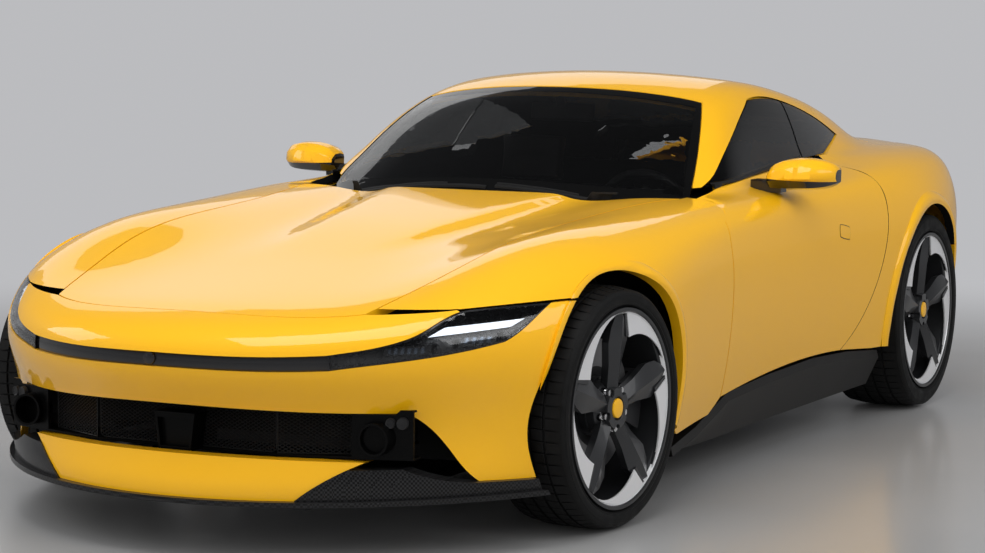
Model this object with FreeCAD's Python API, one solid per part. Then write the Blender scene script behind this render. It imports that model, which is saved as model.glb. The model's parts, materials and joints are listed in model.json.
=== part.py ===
import FreeCAD, Part
import bisect
import math
import os

os.makedirs("parts", exist_ok=True)
V = FreeCAD.Vector

# Overall sizes, in millimetres. X points to the nose, Y to the car's left, Z up from the ground.
LENGTH = 4656.0
WHEELBASE = 2670.0
FRONT_OVERHANG = 945.0
FRONT_TRACK = 1652.0
REAR_TRACK = 1645.0
FRONT_TYRE_WIDTH = 245.0
REAR_TYRE_WIDTH = 275.0
FRONT_TYRE_RADIUS = 340.0
REAR_TYRE_RADIUS = 354.0
FRONT_AXLE = LENGTH / 2 - FRONT_OVERHANG
REAR_AXLE = FRONT_AXLE - WHEELBASE
NOSE_X = LENGTH / 2
TAIL_X = -LENGTH / 2


# Fair curves: a smooth line through a few (station, value) marks, as a lines plan gives them.
def fair(marks):
    marks = sorted(marks)
    xs = [m[0] for m in marks]
    ys = [m[1] for m in marks]
    n = len(xs)
    gaps = [xs[i + 1] - xs[i] for i in range(n - 1)]
    slopes = [(ys[i + 1] - ys[i]) / gaps[i] for i in range(n - 1)]
    bends = [0.0] * n
    diagonal = [1.0] * n
    right = [0.0] * n
    for i in range(1, n - 1):
        weight = 2 * (gaps[i - 1] + gaps[i]) - gaps[i - 1] * diagonal[i - 1]
        diagonal[i] = gaps[i] / weight
        right[i] = (6 * (slopes[i] - slopes[i - 1]) - gaps[i - 1] * right[i - 1]) / weight
    for i in range(n - 2, 0, -1):
        bends[i] = right[i] - diagonal[i] * bends[i + 1]

    def line(x):
        if x <= xs[0]:
            return ys[0] + (x - xs[0]) * (slopes[0] - gaps[0] * bends[1] / 6)
        if x >= xs[-1]:
            return ys[-1] + (x - xs[-1]) * (slopes[-1] + gaps[-1] * bends[-2] / 6)
        i = bisect.bisect_right(xs, x) - 1
        h = gaps[i]
        a = (xs[i + 1] - x) / h
        b = (x - xs[i]) / h
        sag = ((a ** 3 - a) * bends[i] + (b ** 3 - b) * bends[i + 1]) * h * h / 6
        return a * ys[i] + b * ys[i + 1] + sag

    return line


def soft_max(a, b, softness):
    return max(a, b) + softness * math.log1p(math.exp(-abs(a - b) / softness))


def soft_min(a, b, softness):
    return -soft_max(-a, -b, softness)


def bell(offset, width):
    return math.exp(-(offset / width) ** 2)


# The body's lines. Each is a fair curve along the car, measured from its axles.
FA = FRONT_AXLE
RA = REAR_AXLE
NOSE_START = FA - 135.0
TAIL_START = RA - 250.0
# Plan view: half the body's width at its waist.
waist_width = fair([(NOSE_X, 895), (FA + 500, 935), (FA + 300, 962), (FA + 100, 970), (FA - 250, 968), (FA - 650, 940),
                    (0, 922), (RA + 950, 928), (RA + 450, 955), (RA, 980), (RA - 200, 964), (RA - 400, 932),
                    (RA - 800, 870), (TAIL_X, 838)])
waist_height = fair([(NOSE_X, 560), (FA, 600), (0, 620), (RA, 640), (TAIL_X, 700)])
# Front view: how far the flank leans in above and below its waist.
lean_above = fair([(NOSE_X, 90), (FA, 80), (0, 62), (RA + 300, 70), (RA - 300, 90), (TAIL_X, 90)])
lean_below = fair([(NOSE_X, 38), (FA + 200, 28), (FA - 500, 44), (0, 58), (RA + 800, 52), (RA, 40), (TAIL_X, 70)])
# Side view: the nose and tail profiles, as reach ahead of NOSE_START or behind TAIL_START at a height.
nose_reach = fair([(100, 1010), (180, 1030), (260, 1005), (400, 1020), (480, 1073), (540, 1087), (640, 1064), (800, 1000)])
tail_reach = fair([(100, 690), (300, 752), (450, 780), (650, 791), (800, 786), (1000, 750)])
# Side view: the top of the hood, cowl, waist and deck on the centreline.
top_height = fair([(NOSE_X + 100, 630), (FA + 600, 668), (FA + 200, 718), (FA - 200, 775), (FA - 600, 822),
                   (FA - 950, 856), (0, 872), (RA + 500, 905), (RA, 935), (RA - 400, 945), (RA - 700, 940), (TAIL_X, 925)])
# The fender's crest beside the hood, above the hood's own line.
crest_rise = fair([(NOSE_X, 0), (FA + 500, 22), (FA + 100, 62), (FA - 300, 44), (FA - 900, 8), (0, 0),
                   (RA + 700, 0), (RA + 100, 14), (RA - 300, 8), (TAIL_X, -6)])
crest_place = fair([(NOSE_X, 560), (FA, 700), (0, 700), (RA, 740), (TAIL_X, 640)])
top_crown = fair([(NOSE_X, 30), (FA, 10), (0, 18), (RA, 20), (TAIL_X, 26)])
shoulder_softness = fair([(NOSE_X, 26), (FA + 400, 40), (FA, 60), (FA - 600, 44), (0, 26), (RA + 500, 44), (RA, 62), (RA - 500, 44), (TAIL_X, 24)])
NOSE_DROOP = 62.0
NOSE_DROOP_LENGTH = 120.0
# The hood's raised middle: half its width along the car, its height and the width of its edges.
plateau_half = fair([(FA + 400, 130), (FA + 100, 165), (FA - 400, 245), (FA - 950, 335)])
PLATEAU_RISE = 15.0
PLATEAU_EDGE = 15.0
PLATEAU_START = FA + 190.0
PLATEAU_LENGTH = 620.0


def flank(x, y, z):
    """How far a point is outside the body's plan outline at its height."""
    rise = z - waist_height(x)
    lean = lean_above(x) * (rise / 300) ** 2 if rise > 0 else lean_below(x) * (rise / 400) ** 2
    width = waist_width(x) - lean
    ahead = max(0.0, x - NOSE_START) / nose_reach(z)
    behind = max(0.0, TAIL_START - x) / tail_reach(z)
    return (math.sqrt(ahead ** 2.3 + behind ** 3 + (y / width) ** 2) - 1) * width


def edge_ahead(y):
    """The nose's plan outline at the light band."""
    share = min(abs(y) / waist_width(FA + 500), 0.995)
    return NOSE_START + nose_reach(540) * (1 - share ** 2) ** 0.4


def ramp(share):
    share = min(max(share, 0.0), 1.0)
    return share * share * (3 - 2 * share)


def plateau(x, y):
    """The raised middle of the hood, with a shallow valley beside it."""
    length = ramp((PLATEAU_START - x) / PLATEAU_LENGTH) * ramp((x - 150) / 250)
    if length == 0:
        return 0.0
    out = abs(y) - plateau_half(x)
    return PLATEAU_RISE * length * (1 / (1 + math.exp(out / PLATEAU_EDGE)) - 0.35 - 0.4 * bell(out - 90, 90) + 0.35 * ramp((out - 60) / 200))


def lid(x, y, z):
    """How far a point is above the hood, waist or deck."""
    behind_edge = edge_ahead(y) - x
    droop = NOSE_DROOP * math.exp(-behind_edge / NOSE_DROOP_LENGTH) if behind_edge > -200 else NOSE_DROOP * 5
    hood = top_height(x) + crest_rise(x) * bell(abs(y) - crest_place(x), 210) + plateau(x, y)
    return z - (hood - top_crown(x) * (y / 700) ** 2 - droop)


def lower_body(x, y, z):
    return soft_max(flank(x, y, z), lid(x, y, z), shoulder_softness(x))


# The greenhouse: screens, roof and fastback as one fair line, and side glass that leans in.
roof_height = fair([(FA - 780, 760), (FA - 930, 862), (FA - 1120, 985), (FA - 1420, 1148), (FA - 1640, 1206), (FA - 1900, 1221),
                    (RA + 500, 1196), (RA + 150, 1134), (RA - 250, 1028), (RA - 560, 955), (RA - 800, 910)])
SCREEN_SWEEP = 0.34
roof_crown = 52.0
side_width = fair([(FA - 700, 775), (FA - 1100, 752), (FA - 1500, 730), (RA + 600, 722), (RA + 200, 692), (RA - 300, 600), (RA - 700, 480)])
SIDE_LEAN = 0.50
SIDE_LEAN_BASE = 860.0
HOUSE_SOFTNESS = 34.0


def house(x, y, z):
    back = SCREEN_SWEEP * y * y / 1000
    over = z - (roof_height(x + back * 1.0) - roof_crown * (y / 600) ** 2)
    slope = abs(roof_height(x + back + 20) - roof_height(x + back - 20)) / 40
    out = abs(y) - (side_width(x) - SIDE_LEAN * abs(z - SIDE_LEAN_BASE))
    return soft_max(over / math.hypot(1, slope), out / math.hypot(1, SIDE_LEAN), HOUSE_SOFTNESS)


JOIN_SOFTNESS = 22.0


def whole(x, y, z):
    return soft_min(lower_body(x, y, z), house(x, y, z), JOIN_SOFTNESS)


def cast(form, start, way, reach, level=0.0):
    """The outermost point where the ray from start along way leaves the form."""
    inside, outside = 0.0, reach
    steps = 20
    for k in range(steps, -1, -1):
        t = reach * k / steps
        if form(start[0] + way[0] * t, start[1] + way[1] * t, start[2] + way[2] * t) < level:
            inside = t
            break
        outside = t
    for _ in range(20):
        t = (inside + outside) / 2
        if form(start[0] + way[0] * t, start[1] + way[1] * t, start[2] + way[2] * t) < level:
            inside = t
        else:
            outside = t
    return (start[0] + way[0] * inside, start[1] + way[1] * inside, start[2] + way[2] * inside)


# Rays that a panel's surface is measured along, as fans or parallel rows.
def spread(first, last, count):
    return [first + (last - first) * k / (count - 1) for k in range(count)]


def section_rays(stations, angles, centre_y, centre_z, reach=1300.0):
    """Fans across the car, one in the plane of each station, measured from level on the left."""
    return [[((x, centre_y, centre_z), (0.0, math.cos(math.radians(a)), math.sin(math.radians(a))), reach)
             for a in angles] for x in stations]


def lid_rays(stations, half_width, shares, base, reach=900.0):
    """Upright rays under a lid, spread over its own width at each station."""
    return [[((x, half_width(x) * share, base), (0.0, 0.0, 1.0), reach) for share in shares] for x in stations]


def level_rays(levels, angles, centre_x, reach=1400.0):
    """Level fans round the nose or the tail."""
    return [[((centre_x, 0.0, z), (math.cos(math.radians(a)), math.sin(math.radians(a)), 0.0), reach)
             for a in angles] for z in levels]


def dome_rays(rises, angles, centre_x, centre_z, reach=1400.0):
    """Fans that rise from one point, round the nose or the tail."""
    rays = []
    for rise in rises:
        level, up = math.cos(math.radians(rise)), math.sin(math.radians(rise))
        rays.append([((centre_x, 0.0, centre_z),
                      (level * math.cos(math.radians(a)), level * math.sin(math.radians(a)), up), reach) for a in angles])
    return rays


def spline_poles(points):
    """The poles of the cubic spline through evenly numbered points, straight at its ends."""
    n = len(points)
    low = [0.0, 1 / 4] + [1 / 6] * (n - 4) + [1 / 6, -1.0]
    mid = [3.0, 7 / 12] + [4 / 6] * (n - 4) + [7 / 12, 3.0]
    high = [-1.0, 1 / 6] + [1 / 6] * (n - 4) + [1 / 4, 0.0]
    right = [points[0] * 2] + points[1:-1] + [points[-1] * 2]
    for i in range(1, n):
        share = low[i] / mid[i - 1]
        mid[i] -= share * high[i - 1]
        right[i] = right[i] - right[i - 1] * share
    poles = [None] * n
    poles[-1] = right[-1] * (1 / mid[-1])
    for i in range(n - 2, -1, -1):
        poles[i] = (right[i] - poles[i + 1] * high[i]) * (1 / mid[i])
    return [points[0]] + poles + [points[-1]]


def sheet(form, rays, level):
    """The smooth surface through the points where the rays leave the form."""
    rows = [[V(*cast(form, start, way, reach, level)) for start, way, reach in row] for row in rays]
    columns = zip(*[spline_poles(row) for row in rows])
    poles = list(zip(*[spline_poles(list(column)) for column in columns]))
    u, v = len(rows), len(rows[0])
    surface = Part.BSplineSurface()
    surface.buildFromPolesMultsKnots(poles, [4] + [1] * (u - 2) + [4], [4] + [1] * (v - 2) + [4],
                                     list(range(u)), list(range(v)), False, False, 3, 3)
    return surface


def rims(surface):
    u0, u1, v0, v1 = surface.bounds()
    return [surface.uIso(u0).toShape(), surface.uIso(u1).toShape(), surface.vIso(v0).toShape(), surface.vIso(v1).toShape()]


def panel(form, rays, thickness, sunk=0.0):
    """A formed panel: its outer skin, its inner skin and the edges between them."""
    outer = sheet(form, rays, -sunk)
    inner = sheet(form, rays, -sunk - thickness)
    faces = [outer.toShape(), inner.toShape()]
    faces += [Part.makeRuledSurface(a, b) for a, b in zip(rims(outer), rims(inner))]
    shell = Part.makeShell(faces)
    shell.sewShape()
    solid = Part.Solid(shell)
    if solid.Volume < 0:
        solid.reverse()
    return solid


def face(stretches, place):
    """A flat face whose edge is a chain of straight (two marks) and smooth (more marks) stretches."""
    edges = []
    for stretch in stretches:
        marks = [place(*mark) for mark in stretch]
        if len(marks) == 2:
            edges.append(Part.makeLine(*marks))
        else:
            curve = Part.BSplineCurve()
            curve.interpolate(marks)
            edges.append(curve.toShape())
    return Part.Face(Part.Wire(edges))


def side_cutter(stretches, low=0.0, high=1300.0):
    """What lies inside an outline drawn from the side, as (x, z)."""
    return face(stretches, lambda x, z: V(x, low, z)).extrude(V(0, high - low, 0))


def plan_cutter(stretches, low=100.0, high=1500.0):
    """What lies inside an outline drawn from above, as (x, y)."""
    return face(stretches, lambda x, y: V(x, y, low)).extrude(V(0, 0, high - low))


def front_cutter(stretches, low, high):
    """What lies inside an outline drawn from the front, as (y, z)."""
    return face(stretches, lambda y, z: V(low, y, z)).extrude(V(high - low, 0, 0))


def closed(marks):
    """Straight stretches round a closed outline."""
    return [[a, b] for a, b in zip(marks, marks[1:] + marks[:1])]


def inset(stretches, gap):
    """The same outline moved inward by a gap."""
    marks = [mark for stretch in stretches for mark in stretch[:-1]]
    around = list(zip(marks, marks[1:] + marks[:1]))
    turn = 1 if sum(a[0] * b[1] - b[0] * a[1] for a, b in around) > 0 else -1
    normals = []
    for a, b in around:
        length = math.hypot(b[0] - a[0], b[1] - a[1])
        normals.append((-turn * (b[1] - a[1]) / length, turn * (b[0] - a[0]) / length))
    inner = []
    for k, (a, b) in enumerate(marks):
        n = (normals[k - 1][0] + normals[k][0], normals[k - 1][1] + normals[k][1])
        reach = gap * 2 / (n[0] ** 2 + n[1] ** 2)
        inner.append((a + n[0] * reach, b + n[1] * reach))
    result = []
    start = 0
    for stretch in stretches:
        result.append([inner[(start + k) % len(inner)] for k in range(len(stretch))])
        start += len(stretch) - 1
    return result


def mirrored(shape):
    return shape.mirror(V(0, 0, 0), V(0, 1, 0))


def pair(shape):
    return [shape, mirrored(shape)]


def seated(shape, wall):
    """The part of a bracket that is left on the inner side of a wall."""
    return min(shape.cut(wall).Solids, key=lambda s: math.hypot(s.CenterOfMass.x, s.CenterOfMass.y))


def box(x0, x1, y0, y1, z0, z1):
    return Part.makeBox(x1 - x0, y1 - y0, z1 - z0, V(x0, y0, z0))


def rod(start, end, radius):
    start, end = V(*start), V(*end)
    return Part.makeCylinder(radius, (end - start).Length, start, end - start)


def across(x, z, radius, y0, y1):
    """A cylinder across the car."""
    return Part.makeCylinder(radius, y1 - y0, V(x, y0, z), V(0, 1, 0))


PARTS = {}


def keep(node, shape):
    PARTS[node] = shape


def keep_pair(node, shape):
    keep(node + "_left", shape)
    keep(node + "_right", mirrored(shape))


# Panel walls and the gaps between panels.
SKIN = 22.0
HOOD_THICKNESS = 28.0
DOOR_THICKNESS = 95.0
PANEL_GAP = 5.0
ROOF_THICKNESS = 30.0
GLASS = 6.0
GLASS_GAP = 3.0
FRONT_ARCH_RADIUS = FRONT_TYRE_RADIUS + 42.0
REAR_ARCH_RADIUS = REAR_TYRE_RADIUS + 34.0
LINER_GAP = 2.0
LINER_WALL = 5.0
SEAT_GAP = 0.3
PROUD = 20.0
SEAT_DEPTH = PROUD + SKIN + SEAT_GAP

# Shut lines, seen from above. The hood ends at a seam over the nose and at the cowl.
HOOD_CORNER = (2040, 490)
LAMP_CORNER = (1898, 688)
HOOD_FRONT = [LAMP_CORNER, (1975, 605), HOOD_CORNER]
HOOD_NOSE = [HOOD_CORNER, (2092, 405), (2150, 200), (2160, 0), (2150, -200), (2092, -405), (2040, -490)]
HOOD_SIDE = [HOOD_CORNER, (1806, 536), (1583, 571), (1165, 592), (632, 618), (384, 676)]
COWL_LINE = [(384, 676), (440, 520), (486, 260), (500, 0), (486, -260), (440, -520), (384, -676)]


def flipped(marks):
    """The same line on the car's right, run the other way."""
    return [(x, -y) for x, y in reversed(marks)]


def moved(marks, a=0.0, b=0.0):
    return [(m[0] + a, m[1] + b) for m in marks]


# The hood: a formed skin with its stiffening frame, hinged at the cowl.
hood_outline = [HOOD_NOSE, flipped(HOOD_SIDE)[::-1], COWL_LINE[::-1], HOOD_SIDE[::-1]]
hood_half = fair([(340, 740), (1600, 640), (2040, 535), (2190, 430)])
hood_skin = panel(lower_body, lid_rays(spread(340, 2190, 21), hood_half, spread(-1, 1, 43), 300.0), HOOD_THICKNESS)
hood = hood_skin.common(plan_cutter(hood_outline))
HINGE_PIN = 5.0
RUNNING_FIT = 0.05
HOOD_HINGE = (400.0, 806.0)
ear = side_cutter(closed([(388, 796), (412, 796), (448, 812), (448, 842), (428, 842), (420, 818), (388, 818)]), 590, 602)
ear = ear.cut(across(*HOOD_HINGE, HINGE_PIN + RUNNING_FIT, 500, 700))
keep("hood", hood.fuse(pair(ear)))

# The same opening, a gap wider, cuts the panels round it.
hood_opening = plan_cutter([
    moved(HOOD_NOSE, PANEL_GAP), [(HOOD_CORNER[0] + PANEL_GAP, -HOOD_CORNER[1]), (HOOD_CORNER[0], -HOOD_CORNER[1] - PANEL_GAP)],
    moved(flipped(HOOD_SIDE)[::-1], 0, -PANEL_GAP), [(384, -676 - PANEL_GAP), (384 - 60, -676 - PANEL_GAP)],
    [(324, -676 - PANEL_GAP), (324, 676 + PANEL_GAP)], [(324, 676 + PANEL_GAP), (384, 676 + PANEL_GAP)],
    moved(HOOD_SIDE, 0, PANEL_GAP)[::-1], [(HOOD_CORNER[0], HOOD_CORNER[1] + PANEL_GAP), (HOOD_CORNER[0] + PANEL_GAP, HOOD_CORNER[1])]])

# The nose panel between the hood and the light band, and the bumper below it.
BAND_TOP = [(-461, 547), (-227, 542), (0, 544), (227, 542), (461, 547)]
BAND_BOTTOM = [(-462, 506), (-333, 503), (0, 506), (333, 503), (462, 506)]
LAMP_TOP_EDGE = [(461, 547), (535, 559), (603, 577), (636, 593), (657, 612), (676, 632), (702, 648)]
LAMP_CREST = [(702, 648), (778, 655), (853, 657)]
LAMP_BOTTOM = [(462, 506), (563, 520), (684, 537), (803, 567)]
LAMP_OUTER = [(803, 567), (828, 596), (842, 625), (853, 657)]
INTAKE_TOP = [(-610, 386), (-402, 391), (0, 402), (402, 391), (610, 386)]
INTAKE_SIDE = [(610, 386), (644, 353), (690, 280), (745, 196)]


def swapped(marks):
    """A line drawn from the front, on the car's right, run the other way."""
    return [(-y, z) for y, z in reversed(marks)]


nose_outline = [BAND_TOP, LAMP_TOP_EDGE, [(702, 648), (702, 760)], [(702, 760), (-702, 760)], [(-702, 760), (-702, 648)],
                swapped(LAMP_TOP_EDGE)]
nose_rays = [[((edge_ahead(y) - 420.0, y, 330.0), (math.cos(math.radians(a)), 0.0, math.sin(math.radians(a))), 900.0)
              for a in spread(10, 72, 12)] for y in spread(-710, 710, 17)]
nose_skin = panel(lower_body, nose_rays, SKIN)
nose_plan = plan_cutter([moved(HOOD_NOSE, PANEL_GAP), moved(flipped(HOOD_FRONT), PANEL_GAP), [(1903, -688), (1903, -760)],
                         [(1903, -760), (2400, -760)], [(2400, -760), (2400, 760)], [(2400, 760), (1903, 760)],
                         [(1903, 760), (1903, 688)], moved(HOOD_FRONT, PANEL_GAP)])
keep("nose_panel", nose_skin.common(front_cutter(nose_outline, 1500, 2500)).common(nose_plan))

front_arch = across(FRONT_AXLE, FRONT_TYRE_RADIUS, FRONT_ARCH_RADIUS, 300, 1100)
rear_arch = across(REAR_AXLE, REAR_TYRE_RADIUS, REAR_ARCH_RADIUS, 300, 1100)

# The lip round each arch stands proud of the panels, highest a little way out from the arch's edge.
lip_swell = fair([(-30, 5), (0, 7), (8, 11), (16, 12), (24, 12), (32, 10), (40, 5), (47, -2), (60, -6), (90, -10)])


def arch_lip(axle_x, radius, arch, first, last):
    def form(x, y, z):
        return lower_body(x, y, z) - lip_swell(math.hypot(x - axle_x, z - radius) - arch)

    rays = []
    for out in spread(-20, 64, 9):
        rays.append([((axle_x, 300.0, radius), ((arch + out) * math.cos(math.radians(a)) / 1000, 0.655,
                                                (arch + out) * math.sin(math.radians(a)) / 1000), 1300.0)
                     for a in spread(first, last, 31)])
    return panel(form, rays, SKIN + 2)


front_flare = arch_lip(FRONT_AXLE, FRONT_TYRE_RADIUS, FRONT_ARCH_RADIUS, -26, 204)
rear_flare = arch_lip(REAR_AXLE, REAR_TYRE_RADIUS, REAR_ARCH_RADIUS, -20, 206)
bumper_outline = [BAND_BOTTOM, LAMP_BOTTOM, LAMP_OUTER, [(853, 657), (1010, 660)], [(1010, 660), (1010, 185)],
                  [(1010, 185), (745, 196)], INTAKE_SIDE[::-1], INTAKE_TOP[::-1], swapped(INTAKE_SIDE)[::-1],
                  [(-745, 196), (-1010, 185)], [(-1010, 185), (-1010, 660)], [(-1010, 660), (-853, 657)],
                  swapped(LAMP_OUTER), swapped(LAMP_BOTTOM)]
bumper_rays = level_rays(spread(150, 690, 15), spread(-93, 93, 35), FRONT_AXLE + 40)
bumper_skin = panel(lower_body, bumper_rays, SKIN)
bumper = bumper_skin.fuse(pair(front_flare)).common(front_cutter(bumper_outline, 1300, 2500)).cut(pair(front_arch))
keep("front_bumper", bumper)

# The black band across the slot, and the lamps that it runs into.
LAMP_GAP = 0.6
LAMP_DEPTH = 70.0
LAMP_SUNK = 4.0
band_outline = inset([BAND_TOP, [BAND_TOP[-1], BAND_BOTTOM[-1]], BAND_BOTTOM[::-1], [BAND_BOTTOM[0], BAND_TOP[0]]], SEAT_GAP)
band_skin = panel(lower_body, level_rays(spread(480, 560, 5), spread(-40, 40, 17), FRONT_AXLE + 40), 30.0, 10.0)
keep("light_band", band_skin.common(front_cutter(band_outline, 1500, 2500)))
lamp_outline = [LAMP_TOP_EDGE, LAMP_CREST, LAMP_OUTER[::-1], LAMP_BOTTOM[::-1], [LAMP_BOTTOM[0], LAMP_TOP_EDGE[0]]]
lamp_rays = dome_rays(spread(3, 24, 9), spread(18, 80, 19), FRONT_AXLE + 40, 380.0)
LAMP_POCKET = 34.0
LAMP_WALL = 4.0
COVER = 3.0


def lamp_piece(thickness, sunk, gap):
    return panel(lower_body, lamp_rays, thickness, sunk).common(front_cutter(inset(lamp_outline, gap), 1500, 2500))


lamp_room = across(FRONT_AXLE, FRONT_TYRE_RADIUS, FRONT_ARCH_RADIUS + LINER_GAP + LINER_WALL + PANEL_GAP, 300, 1100)
housing = lamp_piece(LAMP_DEPTH, LAMP_SUNK, LAMP_GAP).cut(lamp_piece(LAMP_POCKET + 20, LAMP_SUNK - 20, LAMP_GAP + LAMP_WALL)).cut(lamp_room)
covers = lamp_piece(COVER, LAMP_SUNK, LAMP_GAP + LAMP_WALL + SEAT_GAP).cut(lamp_room)
bar_outline = closed([(674, 606), (809, 619), (792, 601), (649, 584)])
bars = panel(lower_body, lamp_rays, 8.0, LAMP_SUNK + 16).common(front_cutter(bar_outline, 1500, 2500))
bar_room = panel(lower_body, lamp_rays, 30.0, LAMP_SUNK + 16 + 8 + SEAT_GAP).common(front_cutter(bar_outline, 1500, 2500))
eyes = []
for marks in ([(568, 562), (662, 566), (664, 543), (570, 540)], [(710, 582), (776, 588), (778, 562), (712, 557)]):
    eye = front_cutter(closed(marks), 1500, 2500)
    eyes.append(eye.common(lamp_piece(30.0, LAMP_SUNK + 14, LAMP_GAP + LAMP_WALL + 1)).cut(lamp_room))
housing = housing.fuse(bar_room.common(lamp_piece(40.0, LAMP_SUNK, LAMP_GAP + 1)).cut(lamp_room)).fuse(eyes)
keep("headlamps", Part.makeCompound(pair(housing)))
keep("lamp_covers", Part.makeCompound(pair(covers)))
keep("running_lights", Part.makeCompound(pair(bars)))

# The fenders: over the arch, up to the hood, back to the door.
DOOR_FRONT = [(541, 262), (546, 450), (546, 648), (542, 735), (525, 795)]
DOOR_SHOULDER = [(525, 795), (419, 832), (300, 850), (206, 862)]
FENDER_FOOT = [(541, 255), (691, 196), (880, 166)]
fender_outline = [moved(DOOR_FRONT, PANEL_GAP), [(525 + PANEL_GAP, 795), (424, 838)], [(424, 838), (300, 856), (206, 868)], [(206, 868), (206, 1000)],
                  [(206, 1000), (2050, 1000)], [(2050, 1000), (2050, 652)], [(2050, 652), (1898, 652)],
                  [(1898, 652), (1780, 660), (1652, 664)], [(1652, 664), (1383, 666)], [(1383, 666), (1100, 300)],
                  [(1100, 300), (880, 166)], [(880, 166), (691, 196), (541 + PANEL_GAP, 262)]]
fender_rays = section_rays(spread(180, 2060, 24), spread(-27, 84, 17), 330.0, 500.0)
fender_skin = panel(lower_body, fender_rays, SKIN)
fender_plan = plan_cutter([moved(HOOD_FRONT, -1), [(2039, 490), (2039, 300)], [(2039, 300), (500, 300)], [(500, 300), (400, 676)],
                           [(400, 676), (100, 676)], [(100, 676), (100, 1100)],
                           [(100, 1100), (1897, 1100)], [(1897, 1100), (1897, 688)]])
fender = fender_skin.fuse(front_flare).common(side_cutter(fender_outline)).common(fender_plan).cut(hood_opening).cut(front_arch)
keep_pair("fender", fender)

# The greenhouse, seen from above and from the side.
SCREEN_BASE = [(300, 668), (411, 408), (450, 264), (478, 0), (450, -264), (411, -408), (300, -668)]
SCREEN_SIDE = [(300, 668), (60, 604), (-196, 510)]
SCREEN_TOP = [(-196, 510), (-172, 400), (-145, 250), (-122, 0), (-145, -250), (-172, -400), (-196, -510)]
SIDE_GLASS_SILL = [(178, 870), (-340, 905), (-700, 925), (-935, 928)]
SIDE_GLASS_FRONT = [(178, 870), (-117, 1012), (-440, 1134)]
SIDE_GLASS_TOP = [(-440, 1134), (-600, 1140), (-800, 1112), (-1040, 1055), (-1240, 984)]
SIDE_GLASS_REAR = [(-1240, 984), (-935, 928)]
GLASS_SPLIT = [(-676, 900), (-740, 1150)]
REAR_SCREEN_TOP = [(-1010, 480), (-985, 240), (-975, 0), (-985, -240), (-1010, -480)]
REAR_SCREEN_SIDE = [(-1010, 480), (-1250, 520), (-1560, 500)]
REAR_SCREEN_BASE = [(-1560, 500), (-1590, 250), (-1600, 0), (-1590, -250), (-1560, -500)]
ROOF_BACK = -1062.0

house_rays = section_rays(spread(520, -1660, 34), spread(0, 180, 31), 0.0, 800.0)
house_skin = panel(house, house_rays, ROOF_THICKNESS)
# Each glass lies in a rebate, on a flange that runs round the opening behind it.
GLASS_SUNK = 2.0
FLANGE = 18.0
side_glass_edge = [SIDE_GLASS_FRONT, SIDE_GLASS_TOP, SIDE_GLASS_REAR, SIDE_GLASS_SILL[::-1]]
screen_edge = [SCREEN_SIDE, SCREEN_TOP, flipped(SCREEN_SIDE), SCREEN_BASE[::-1]]
rear_screen_edge = [REAR_SCREEN_SIDE, REAR_SCREEN_BASE, flipped(REAR_SCREEN_SIDE), REAR_SCREEN_TOP[::-1]]
side_glass_hole = side_cutter(side_glass_edge, -1100, 1100)
side_glass_way = side_cutter(inset(side_glass_edge, FLANGE), -1100, 1100)
screen_hole = plan_cutter(screen_edge, 700)
screen_way = plan_cutter(inset(screen_edge, FLANGE), 700)
rear_screen_hole = plan_cutter(rear_screen_edge, 700)
rear_screen_way = plan_cutter(inset(rear_screen_edge, FLANGE), 700)
glass_skin = panel(house, house_rays, GLASS, GLASS_SUNK)
glass_pocket = panel(house, house_rays, 20 + GLASS_SUNK + GLASS + SEAT_GAP, -20.0)
roof_outline = closed([(330, 860), (178, 874), (-117, 1012), (-440, 1134), (ROOF_BACK, 1000), (ROOF_BACK, 1300), (330, 1300)])
roof = house_skin.common(side_cutter(roof_outline, -1000, 1000)).cut(glass_pocket.common(screen_hole.fuse([side_glass_hole, rear_screen_hole])))
roof = roof.cut(screen_way).cut(side_glass_way).cut(rear_screen_way)
keep("roof", roof)

screen_outline = [[(300 - 1, 668 - 6), (60, 604 - GLASS_GAP), (-196 + GLASS_GAP, 510 - GLASS_GAP)],
                  [(-193, 507), (-169, 400), (-142, 250), (-119, 0), (-142, -250), (-169, -400), (-193, -507)],
                  [(-193, -507), (60, -601), (299, -662)],
                  [(299, -662), (408, -408), (447, -264), (475, 0), (447, 264), (408, 408), (299, 662)]]
keep("windscreen", glass_skin.common(plan_cutter(screen_outline, 812)))
rear_outline = [[(-1013, 477), (-1250, 517), (-1557, 497)], [(-1557, 497), (-1587, 250), (-1597, 0), (-1587, -250), (-1557, -497)],
                [(-1557, -497), (-1250, -517), (-1013, -477)], [(-1013, -477), (-988, -240), (-978, 0), (-988, 240), (-1013, 477)]]
keep("rear_window", glass_skin.common(plan_cutter(rear_outline, 700)))
door_glass_outline = [[(168, 872), (-119, 1008), (-444, 1129)], [(-444, 1129), (-560, 1134), (-738, 1118)],
                      [(-738, 1118), (-672, 927)], [(-672, 927), (-340, 909), (168, 872)]]
door_glass = glass_skin.common(side_cutter(door_glass_outline))
keep_pair("door_glass", door_glass)
quarter_glass_outline = [[(-750, 1116), (-1040, 1050), (-1225, 984)], [(-1225, 984), (-935, 932)],
                         [(-935, 932), (-684, 928)], [(-684, 928), (-750, 1116)]]
quarter_glass = glass_skin.common(side_cutter(quarter_glass_outline))
keep("quarter_glass", Part.makeCompound([quarter_glass, mirrored(quarter_glass)]))

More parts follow.
